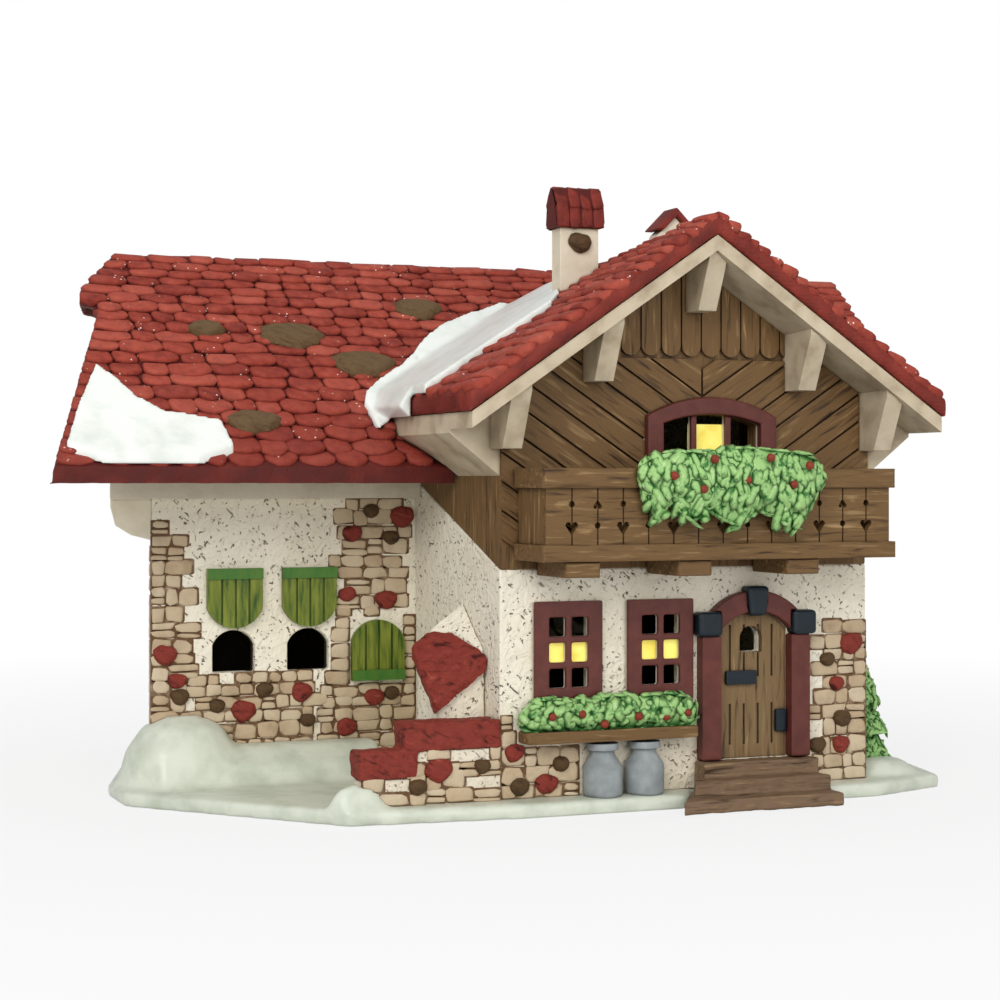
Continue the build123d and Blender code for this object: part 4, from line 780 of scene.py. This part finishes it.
def cap_tiles():
    """Two courses of small tiles on each side of the front chimney's saddle cap."""
    left, right, front, back, foot = CHIMNEY
    middle, half = (front + back) / 2, (back - front) / 2 + CAP_OVER
    places = []
    for side in (-1, 1):
        for low_out, low, high_out, high in CAP_COURSES:
            ends = [(middle + side * half * out, foot + CAP_HEIGHT * up)
                    for out, up in ((low_out, low), (high_out, high))]
            up = Vector((0, ends[1][0] - ends[0][0], ends[1][1] - ends[0][1]))
            width = (right - left + 2 * CAP_OVER) / CAP_TILES
            for index in range(CAP_TILES):
                x = left - CAP_OVER + width * (index + 0.5)
                places.append(((x, *ends[0]), (-side, 0, 0), up, (width, up.length, 0.7)))

    def trim(place):
        y = between(place.y, middle - half - CAP_EDGE, middle + half + CAP_EDGE)
        return boxed((between(place.x, left - CAP_OVER, right + CAP_OVER), y, place.z))

    kinds = shingles(6, SEED + 2, CAP_HANG)
    return set_out("chimney_tiles", places, kinds, FINISHES["cap_tiles"], 0.04, 0.04, SEED, trim)


def tiled_roofs():
    pieces = [barn_tiles(side) for side in (-1, 1)] + [house_tiles(side) for side in (-1, 1)] + [cap_tiles()]
    for piece in pieces:
        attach(piece, "house")


tiled_roofs()


# The cast pieces' own finishes
CAST_FINISHES = {
    "render": ("barn_front_wall", "barn_back_wall", "barn_left_wall", "barn_right_wall", "house_walls",
               "lean_to", "low_wall"),
    "trim": ("gable_soffit", "roof_brackets"),
    "cornice": ("barn_cornice", "chimney_stack", "rear_chimney_stack"),
    "snow": ("barn_roof_snow", "valley_snow"),
    "ground_snow": ("snow_base", "snow_drifts"),
    "side_timber": ("timber_storey",),
    "planks": ("chevron_planks",),
    "boards": ("gable_boards", "balcony_side_panels"),
    "door": ("door_leaf",),
    "rails": ("balcony_floor", "balcony_front_panel", "balcony_top_rail", "balcony_bottom_rail",
              "balcony_beams", "flower_box_board"),
    "step": ("door_steps",),
    "roof_bed": ("barn_roof", "chimney_cap"),
    "barge": ("house_roof", "rear_chimney_cap"),
    "red_stone": ("lean_to_cap", "low_wall_coping", "red_stones"),
    "brown_stone": ("brown_stones",),
    "roof_stone": ("roof_stones",),
    "leaf": ("garland", "flower_box_greenery", "evergreen_tree"),
    "berry": ("garland_berries", "flower_box_berries"),
    "maroon": ("upper_window_frame", "left_window_frame", "right_window_frame"),
    "door_maroon": ("door_surround",),
    "iron": ("door_blocks", "door_handle", "door_hinge"),
    "can": ("left_milk_can", "right_milk_can"),
    "shutter": ("left_shutter", "middle_shutter", "barn_hatch"),
    "pane": ("lit_panes",),
    "lamp": ("lamp_holder",),
    "steel": ("lamp_clip",),
    "brass": ("bulb_cap",),
    "glass": ("bulb_glass",),
}

# Edges that the glaze rounds over, in millimetres
EDGES = {
    1.2: ("door_steps",),
    0.9: ("balcony_top_rail", "lean_to", "roof_brackets", "door_blocks"),
    0.6: ("balcony_bottom_rail", "balcony_beams", "flower_box_board", "barn_cornice", "low_wall",
          "low_wall_coping", "lean_to_cap", "door_surround", "red_stones", "brown_stones", "chimney_cap",
          "rear_chimney_cap"),
    0.4: ("upper_window_frame", "left_window_frame", "right_window_frame", "left_shutter",
          "middle_shutter", "barn_hatch", "house_walls", "barn_front_wall", "timber_storey"),
    0.25: ("chevron_planks", "gable_boards", "door_leaf", "door_handle", "door_hinge", "left_milk_can",
           "right_milk_can", "balcony_front_panel", "balcony_side_panels", "chimney_stack",
           "rear_chimney_stack"),
}


def paint_castings():
    for finish, names in CAST_FINISHES.items():
        for name in names:
            dress(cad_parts[name].data, finish)


def round_edges():
    """The castings' edges, rounded by glaze and paint; the mesh's loose triangles are joined first."""
    for width, names in EDGES.items():
        for name in names:
            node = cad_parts[name]
            modify(node, "join", "WELD", merge_threshold=WELD_REACH)
            modify(node, "rounded", "BEVEL", width=width * MM, segments=3, limit_method="ANGLE",
                   angle_limit=radians(35), use_clamp_overlap=True)


# Pieces that were moulded, hewn or worn by hand: how far their surface wanders and how finely it is
# cut, in millimetres, how often it is smoothed, and the level of the pattern that stays in place
HEWN = (
    (("barn_roof", "house_roof"), 0.5, 0.95, 4, 0.8),
    (("lean_to_cap", "low_wall_coping"), 0.9, 0.35, 2, 0.6),
    (("red_stones", "brown_stones"), 0.9, 0.3, 2, -0.1),
    (("door_steps", "lean_to"), 0.5, 0.35, 2, 0.8),
    (("roof_stones",), 0.5, 0.35, 2, -0.6),
)


def hew_surfaces():
    cloud = bpy.data.textures.new("hewn", "CLOUDS")
    cloud.noise_scale = 3.0 * MM
    cloud.noise_depth = 2
    for names, wander, cut, rounds, level in HEWN:
        for name in names:
            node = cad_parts[name]
            if not node.modifiers:
                modify(node, "join", "WELD", merge_threshold=WELD_REACH)
            modify(node, "fine", "REMESH", mode="VOXEL", voxel_size=cut * MM)
            modify(node, "hewn", "DISPLACE", texture=cloud, strength=wander * MM, mid_level=level)
            modify(node, "worn", "SMOOTH", factor=SMOOTHING, iterations=rounds)


paint_castings()
round_edges()
hew_surfaces()


# Rubble masonry
JOINT = 0.3
JOINT_SHOWS = 1.8  # times the joint, by which the dark plate is wider than its stone
COURSE_HEIGHT = (2.5, 4.2)
STONE_WIDTH = (3.8, 5.6)
STONE_PROUD = 0.4
STONE_SHIFT = 0.3
SHORTEST_RUN = 1.6
RAGGED_OUT = 2.5
RAGGED_IN = 2.0
SPLIT_HEIGHT = 3.0  # courses taller than this have some stones split in two
SPLIT_CHANCE = 0.22
TOP_GAP_CHANCE = 0.45
FITTING_ROOM = 0.2
FITTING_NEAR = 1.5
COURSE_TOUCH = 0.6
WINDOW_ROOM = 0.6
ARCH_ROOM = 0.8


def clipped_square(corner):
    """A square one unit wide, with its corners clipped."""
    near = 0.5 - corner
    return [(-near, -0.5), (near, -0.5), (0.5, -near), (0.5, near), (near, 0.5), (-near, 0.5), (-0.5, near),
            (-0.5, -near)]


def rubble_kinds(count, seed):
    """Rubble stones with clipped, uneven corners, one unit wide and high; heights in millimetres."""
    chance = random.Random(seed)
    kinds = []
    for index in range(count):
        square = clipped_square(chance.uniform(0.1, 0.26))
        outline = [(x + chance.uniform(-0.08, 0.05), y + chance.uniform(-0.11, 0.07)) for x, y in square]
        lean, tip = chance.uniform(-0.25, 0.25), chance.uniform(-0.2, 0.2)
        points, faces = cushion(outline, 0.3, -0.5, 0.26,
                                lambda x, y: STONE_PROUD + lean * x + tip * y)
        kinds.append(mesh_piece(f"rubble_{index}", points, faces))
    return kinds


def joint_kinds():
    """The thin plate of dark wash that shows round each stone."""
    return [mesh_piece("joint", *cushion(clipped_square(0.08), 0.05, -0.3, 0.05, lambda x, y: 0.1))]


def islands(name):
    """The box of every separate solid in a casting, as (lowest, highest) in source millimetres."""
    work = bmesh.new()
    work.from_mesh(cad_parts[name].data)
    bmesh.ops.remove_doubles(work, verts=work.verts, dist=WELD_REACH)
    left, boxes = set(work.verts), []
    while left:
        found = [left.pop()]
        for vertex in found:
            for edge in vertex.link_edges:
                other = edge.other_vert(vertex)
                if other in left:
                    left.remove(other)
                    found.append(other)
        spots = [Vector(vertex.co) / MM - HOME for vertex in found]
        boxes.append([[pick(spot[axis] for spot in spots) for axis in range(3)] for pick in (min, max)])
    work.free()
    return boxes


def blocked_spans(names, depth, along=0):
    """(start, end, foot, top) of what stands on a wall, so that the stones keep clear of it."""
    spans = []
    for name in names:
        for lowest, highest in islands(name):
            if lowest[1 - along] - FITTING_NEAR < depth < highest[1 - along] + FITTING_NEAR:
                spans.append((lowest[along] - FITTING_ROOM, highest[along] + FITTING_ROOM,
                              lowest[2] - FITTING_ROOM, highest[2] + FITTING_ROOM))
    return spans


def free_spans(start, end, foot, top, blocked):
    """What is left of a course between the things that stand in it."""
    spans = [(start, end)]
    for left, right, low, high in blocked:
        if low < top - COURSE_TOUCH and high > foot + COURSE_TOUCH:
            pieces = [piece for a, b in spans for piece in ((a, min(b, left)), (max(a, right), b))]
            spans = [(a, b) for a, b in pieces if b > a]
    return spans


def coursed(zone, blocked, chance):
    """(middle, height of middle, width, height) of every stone in one patch of masonry."""
    start, end, foot, top, ragged_start, ragged_end = zone
    z = foot
    while z < top:
        height = chance.uniform(*COURSE_HEIGHT)
        last = z + height > top
        a = start + (chance.uniform(-RAGGED_OUT, RAGGED_IN) if ragged_start else 0)
        b = end + (chance.uniform(-RAGGED_IN, RAGGED_OUT) if ragged_end else 0)
        for left, right in free_spans(a, b, z, z + height, blocked):
            length = right - left
            if length < SHORTEST_RUN:
                continue
            count = max(1, round(length / chance.uniform(*STONE_WIDTH)))
            widths = [chance.uniform(0.6, 1.4) for _ in range(count)]
            x = left
            for width in widths:
                width *= length / sum(widths)
                if not (last and chance.random() < TOP_GAP_CHANCE):
                    shift = chance.uniform(-STONE_SHIFT, STONE_SHIFT)
                    two = height > SPLIT_HEIGHT and chance.random() < SPLIT_CHANCE
                    split = chance.uniform(0.35, 0.65) if two else 1.0
                    yield x + width / 2, z + height * split / 2 + shift, width, height * split
                    if split < 1:
                        yield x + width / 2, z + height * (1 + split) / 2 + shift, width, height * (1 - split)
                x += width
        z += height


# The painted accent stones stand further out than the rubble, so it runs on behind them
BARN_FITTINGS = ("left_shutter", "middle_shutter", "barn_hatch", "lean_to", "lean_to_cap", "low_wall",
                 "low_wall_coping")
HOUSE_FITTINGS = ("left_milk_can", "right_milk_can", "flower_box_board", "flower_box_greenery",
                  "door_surround", "door_blocks", "door_steps", "low_wall_coping", "left_window_frame",
                  "right_window_frame")
BARN_WINDOWS = ((-43.9, 9.9, 24.2, 33.8), (-26.3, 9.9, 24.2, 33.8))
LOW_WALL = (-31.0, -22.0, 5.6, 11.2)
LOW_WALL_FACE = -0.6
MASONRY = (
    # name, across direction, fixed place, patches (start, end, foot, top, ragged start, ragged end), fittings
    ("barn_front", (1, 0, 0), HOUSE_DEPTH, (
        (BARN_LEFT, -54.0, 6.0, 56.0, False, True), (-54.0, -24.0, 6.0, 22.5, True, True),
        (-24.0, 0.0, 6.0, 38.0, True, False), (-19.0, -2.0, 38.0, 66.0, True, True)), BARN_FITTINGS),
    ("house_front", (1, 0, 0), 0.0, (
        (0.0, 20.0, 0.0, 16.5, False, True), (77.0, HOUSE_WIDTH, 0.0, 37.0, True, False)), HOUSE_FITTINGS),
    ("low_wall", (1, 0, 0), LOW_WALL_FACE, (
        (LOW_WALL[0], 0.0, 0.0, LOW_WALL[2] - 0.4, False, False),
        (LOW_WALL[1], 0.0, LOW_WALL[2], LOW_WALL[3] - 0.4, False, False)), ()),
    ("barn_back", (-1, 0, 0), BARN_BACK, (
        (BARN_LEFT + 13.9, 8.0, 0.0, 13.0, False, True), (84.0, BARN_RIGHT, 0.0, 15.0, True, False),
        (BARN_RIGHT - 12.0, BARN_RIGHT, 15.0, 52.0, True, False)), ()),
    ("barn_right", (0, 1, 0), BARN_RIGHT, (
        (HOUSE_DEPTH, BARN_BACK, 0.0, 12.0, False, False),
        (HOUSE_DEPTH, HOUSE_DEPTH + 11.0, 12.0, 48.0, False, True),
        (BARN_BACK - 10.0, BARN_BACK, 12.0, 44.0, True, False)), ()),
    ("barn_left", (-END_SKEW, -1, 0), BARN_LEFT, (
        (HOUSE_DEPTH, BARN_BACK, 0.0, 11.0, False, False),
        (HOUSE_DEPTH, HOUSE_DEPTH + 9.0, 11.0, 50.0, False, True),
        (BARN_BACK - 9.0, BARN_BACK, 11.0, 40.0, True, False)), ()),
    ("house_right", (0, 1, 0), HOUSE_WIDTH, (
        (0.0, HOUSE_DEPTH, 0.0, 10.0, False, False), (0.0, 9.0, 10.0, 36.0, False, True)), ()),
)


def masonry_places():
    chance = random.Random(SEED)
    places = []
    for name, across, depth, patches, fittings in MASONRY:
        across = Vector(across)
        along = 1 if across.y else 0
        lean = across.x / across.y if across.y else 0.0
        blocked = blocked_spans(fittings, depth, along)
        if name == "barn_front":
            blocked += [(middle - width / 2 - WINDOW_ROOM, middle + width / 2 + WINDOW_ROOM,
                         foot - WINDOW_ROOM, top + ARCH_ROOM) for middle, width, foot, top in BARN_WINDOWS]
        for patch in patches:
            for middle, z, width, height in coursed(patch, blocked, chance):
                point = (depth + lean * (middle - HOUSE_DEPTH), middle, z) if along else (middle, depth, z)
                places.append((point, across, (0, 0, 1), (width - JOINT, height - JOINT, 1.0)))
    return places


def rubble_masonry():
    places = masonry_places()
    stones = set_out("rubble_stones", places, rubble_kinds(12, SEED), FINISHES["stone"], 0.03, 0.0, SEED)
    wider = [(point, across, up, (size[0] + JOINT_SHOWS * JOINT, size[1] + JOINT_SHOWS * JOINT, 1.0))
             for point, across, up, size in places]
    joints = set_out("rubble_joints", wider, joint_kinds(), FINISHES["joint"], 0.03, 0.0, SEED)
    for piece in (stones, joints):
        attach(piece, "house")


rubble_masonry()


# Greenery
def leaf_kinds(count, seed):
    """Pointed leaves folded along the rib, one unit long and wide, growing along up."""
    chance = random.Random(seed)
    kinds = []
    for index in range(count):
        bend = chance.uniform(0.05, 0.3)
        wide = chance.uniform(0.85, 1.1) / 2
        ribs = [(0.0, 0.0), (0.3, 0.3), (0.72, 0.26), (1.0, -bend)]
        points = [(0.0, y, z) for y, z in ribs]
        points += [(side * wide * share, y, z) for side in (-1, 1)
                   for y, z, share in ((0.26, 0.0, 0.85), (0.76, -0.02, 0.9))]
        points += [(0.0, 0.4, -0.16)]
        faces = [(0, 4, 1), (4, 5, 2, 1), (5, 3, 2), (0, 1, 6), (1, 2, 7, 6), (2, 3, 7),
                 (0, 8, 4), (4, 8, 5), (5, 8, 3), (0, 6, 8), (6, 7, 8), (7, 3, 8)]
        kinds.append(mesh_piece(f"leaf_{index}", points, [tuple(reversed(face)) for face in faces]))
    return kinds


def surface_spots(name, count, seed, keep):
    """Random points on a casting's surface with the surface's direction, in source millimetres."""
    chance = random.Random(seed)
    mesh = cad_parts[name].data
    mesh.calc_loop_triangles()
    triangles = []
    for triangle in mesh.loop_triangles:
        corners = [Vector(mesh.vertices[index].co) / MM - HOME for index in triangle.vertices]
        cross = (corners[1] - corners[0]).cross(corners[2] - corners[0])
        if cross.length > 0 and keep(cross.normalized()):
            triangles.append((cross.length, corners, cross.normalized()))
    weights = [area for area, corners, normal in triangles]
    for area, corners, normal in chance.choices(triangles, weights, k=count):
        u, v = chance.random(), chance.random()
        if u + v > 1:
            u, v = 1 - u, 1 - v
        yield corners[0] + (corners[1] - corners[0]) * u + (corners[2] - corners[0]) * v, normal, chance


def leaves(name, node, count, size, hang, seed, keep=lambda normal: normal.y < 0.6):
    """Leaves on a bank of greenery, hanging by the given share and fanning out sideways."""
    places = []
    for point, normal, chance in surface_spots(node, count, seed, keep):
        fan = Vector((chance.uniform(-0.9, 0.9), chance.uniform(-0.5, 0.2), chance.uniform(-0.3, 0.6)))
        along = Vector((0, 0, -hang)) + fan + normal * 0.3
        across = along.cross(normal)
        if across.length < 0.05:
            continue
        up = normal.cross(across)
        grown = [value * chance.uniform(0.8, 1.25) for value in size]
        places.append((point + normal * 0.1 - up.normalized() * size[1] * 0.4, across, up, grown))
    piece = set_out(name, places, leaf_kinds(6, seed), FINISHES["leaf"], 0.15, 0.1, seed, boxed)
    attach(piece, "house")


leaves("garland_leaves", "garland", 300, (2.5, 4.5, 1.8), 1.3, SEED)
leaves("flower_box_leaves", "flower_box_greenery", 210, (2.3, 3.6, 1.8), -0.4, SEED + 1)
leaves("evergreen_leaves", "evergreen_tree", 380, (1.5, 3.4, 1.4), 0.9, SEED + 2,
       lambda normal: normal.z > -0.5)


# Snow
def soft_copy(name, nodes, voxel, rounds, finish="snow"):
    """Castings melted into one soft mass: joined, remeshed finely and smoothed."""
    work = bmesh.new()
    for node in nodes:
        work.from_mesh(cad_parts[node].data)
    bmesh.ops.remove_doubles(work, verts=work.verts, dist=WELD_REACH)
    mesh = bpy.data.meshes.new(name)
    work.to_mesh(mesh)
    work.free()
    piece = show(name, mesh)
    modify(piece, "melt", "REMESH", mode="VOXEL", voxel_size=voxel * MM)
    modify(piece, "soften", "SMOOTH", factor=SMOOTHING, iterations=rounds)
    made = plain_mesh(piece)
    piece.modifiers.clear()
    piece.data = made
    dress(made, finish)
    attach(piece, "house")
    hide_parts(*nodes)
    return piece


def snow_cover():
    ground = soft_copy("snow_ground", ("snow_base", "snow_drifts"), 0.9, 8, "ground_snow")
    for vertex in ground.data.vertices:
        vertex.co.z = max(vertex.co.z, 0.0)
    soft_copy("snow_on_barn", ("barn_roof_snow",), 0.45, 6)
    soft_copy("snow_in_valley", ("valley_snow",), 0.45, 14)


snow_cover()


# Stage
FLOOR_REACH = 6.0
FLOOR_GREY = (0.66, 0.66, 0.66, 1.0)
FLOOR_FADE = {"From Min": 0.1, "From Max": 0.4, "To Min": 0.8, "To Max": 1.0}
ROOM_COLOUR = (0.97, 0.98, 1.0, 1.0)
ROOM_LIGHT = 0.5
LAMP_COLOUR = (1.0, 0.985, 0.96)
LAMP_AIM = Vector((0, -0.02, 0.06))
STUDIO_LAMPS = (
    ("window_lamp", (-0.6, -0.75, 0.58), 5.1, 0.6),
    ("fill_lamp", (0.15, -1.0, 0.3), 2.9, 0.7),
    ("top_lamp", (-0.15, 0.05, 1.0), 1.1, 0.8),
)
CAMERA_PLACE = (-170.9, -423.1, 68.0)
CAMERA_TURN = -22.0
CAMERA_LENS = 77.3
CAMERA_SHIFT = -0.02


def seen_by(tree, first, second):
    """1 for two kinds of ray, 0 for the others."""
    rays = add_node(tree, "ShaderNodeLightPath").outputs
    inputs = {0: rays[first], 1: rays[second]}
    return add_node(tree, "ShaderNodeMath", inputs, operation="MAXIMUM").outputs[0]


def floor_paint():
    """Matt grey for light and shadow, which the camera sees run out to white."""
    material = bpy.data.materials.new("pale_floor")
    material.use_nodes = True
    tree = material.node_tree
    tree.nodes.clear()
    place = add_node(tree, "ShaderNodeTexCoord").outputs["Object"]
    away = add_node(tree, "ShaderNodeVectorMath", {0: place}, operation="LENGTH").outputs["Value"]
    fade = add_node(tree, "ShaderNodeMapRange", {"Value": away, **FLOOR_FADE}).outputs["Result"]
    seen = seen_by(tree, "Is Camera Ray", "Is Glossy Ray")
    share = add_node(tree, "ShaderNodeMath", {0: seen, 1: fade}, operation="MULTIPLY").outputs[0]
    matt = add_node(tree, "ShaderNodeBsdfDiffuse", {"Color": FLOOR_GREY}).outputs[0]
    white = add_node(tree, "ShaderNodeEmission").outputs[0]
    mixed = add_node(tree, "ShaderNodeMixShader", {0: share, 1: matt, 2: white}).outputs[0]
    add_node(tree, "ShaderNodeOutputMaterial", {"Surface": mixed})
    return material


def lay_floor():
    corners = [(x * FLOOR_REACH, y * FLOOR_REACH, 0) for x, y in ((-1, -1), (1, -1), (1, 1), (-1, 1))]
    floor = mesh_piece("floor", corners, [(0, 1, 2, 3)])
    floor.data.materials.append(floor_paint())
    bpy.context.scene.collection.objects.link(floor)


def light_room():
    """Soft light from all around, in front of a white that only the camera sees."""
    world = bpy.data.worlds.new("pale_room")
    bpy.context.scene.world = world
    world.use_nodes = True
    tree = world.node_tree
    tree.nodes.clear()
    seen = seen_by(tree, "Is Camera Ray", "Is Transmission Ray")
    inputs = {"Color": ROOM_COLOUR, "Strength": ROOM_LIGHT}
    room = add_node(tree, "ShaderNodeBackground", inputs).outputs[0]
    white = add_node(tree, "ShaderNodeBackground", {"Color": (1, 1, 1, 1)}).outputs[0]
    mixed = add_node(tree, "ShaderNodeMixShader", {0: seen, 1: room, 2: white}).outputs[0]
    add_node(tree, "ShaderNodeOutputWorld", {"Surface": mixed})


def hang_lamps():
    for name, place, watts, size in STUDIO_LAMPS:
        lamp = bpy.data.lights.new(name, "AREA")
        lamp.shape = "DISK"
        lamp.size = size
        lamp.energy = watts
        lamp.color = LAMP_COLOUR
        holder = show(name, lamp)
        holder.location = place
        holder.rotation_euler = (LAMP_AIM - Vector(place)).to_track_quat("-Z", "Y").to_euler()


def camera():
    """A level camera in front of the house's left corner, as in the photo."""
    data = bpy.data.cameras.new("camera")
    data.lens = CAMERA_LENS
    data.sensor_width = 36.0
    data.shift_y = CAMERA_SHIFT
    data.clip_start = 0.01
    data.clip_end = 20.0
    holder = show("camera", data)
    holder.location = spot(*CAMERA_PLACE)
    holder.rotation_euler = (radians(90), 0, radians(CAMERA_TURN))
    bpy.context.scene.camera = holder


lay_floor()
light_room()
hang_lamps()
camera()
bpy.context.scene.view_settings.view_transform = "Standard"
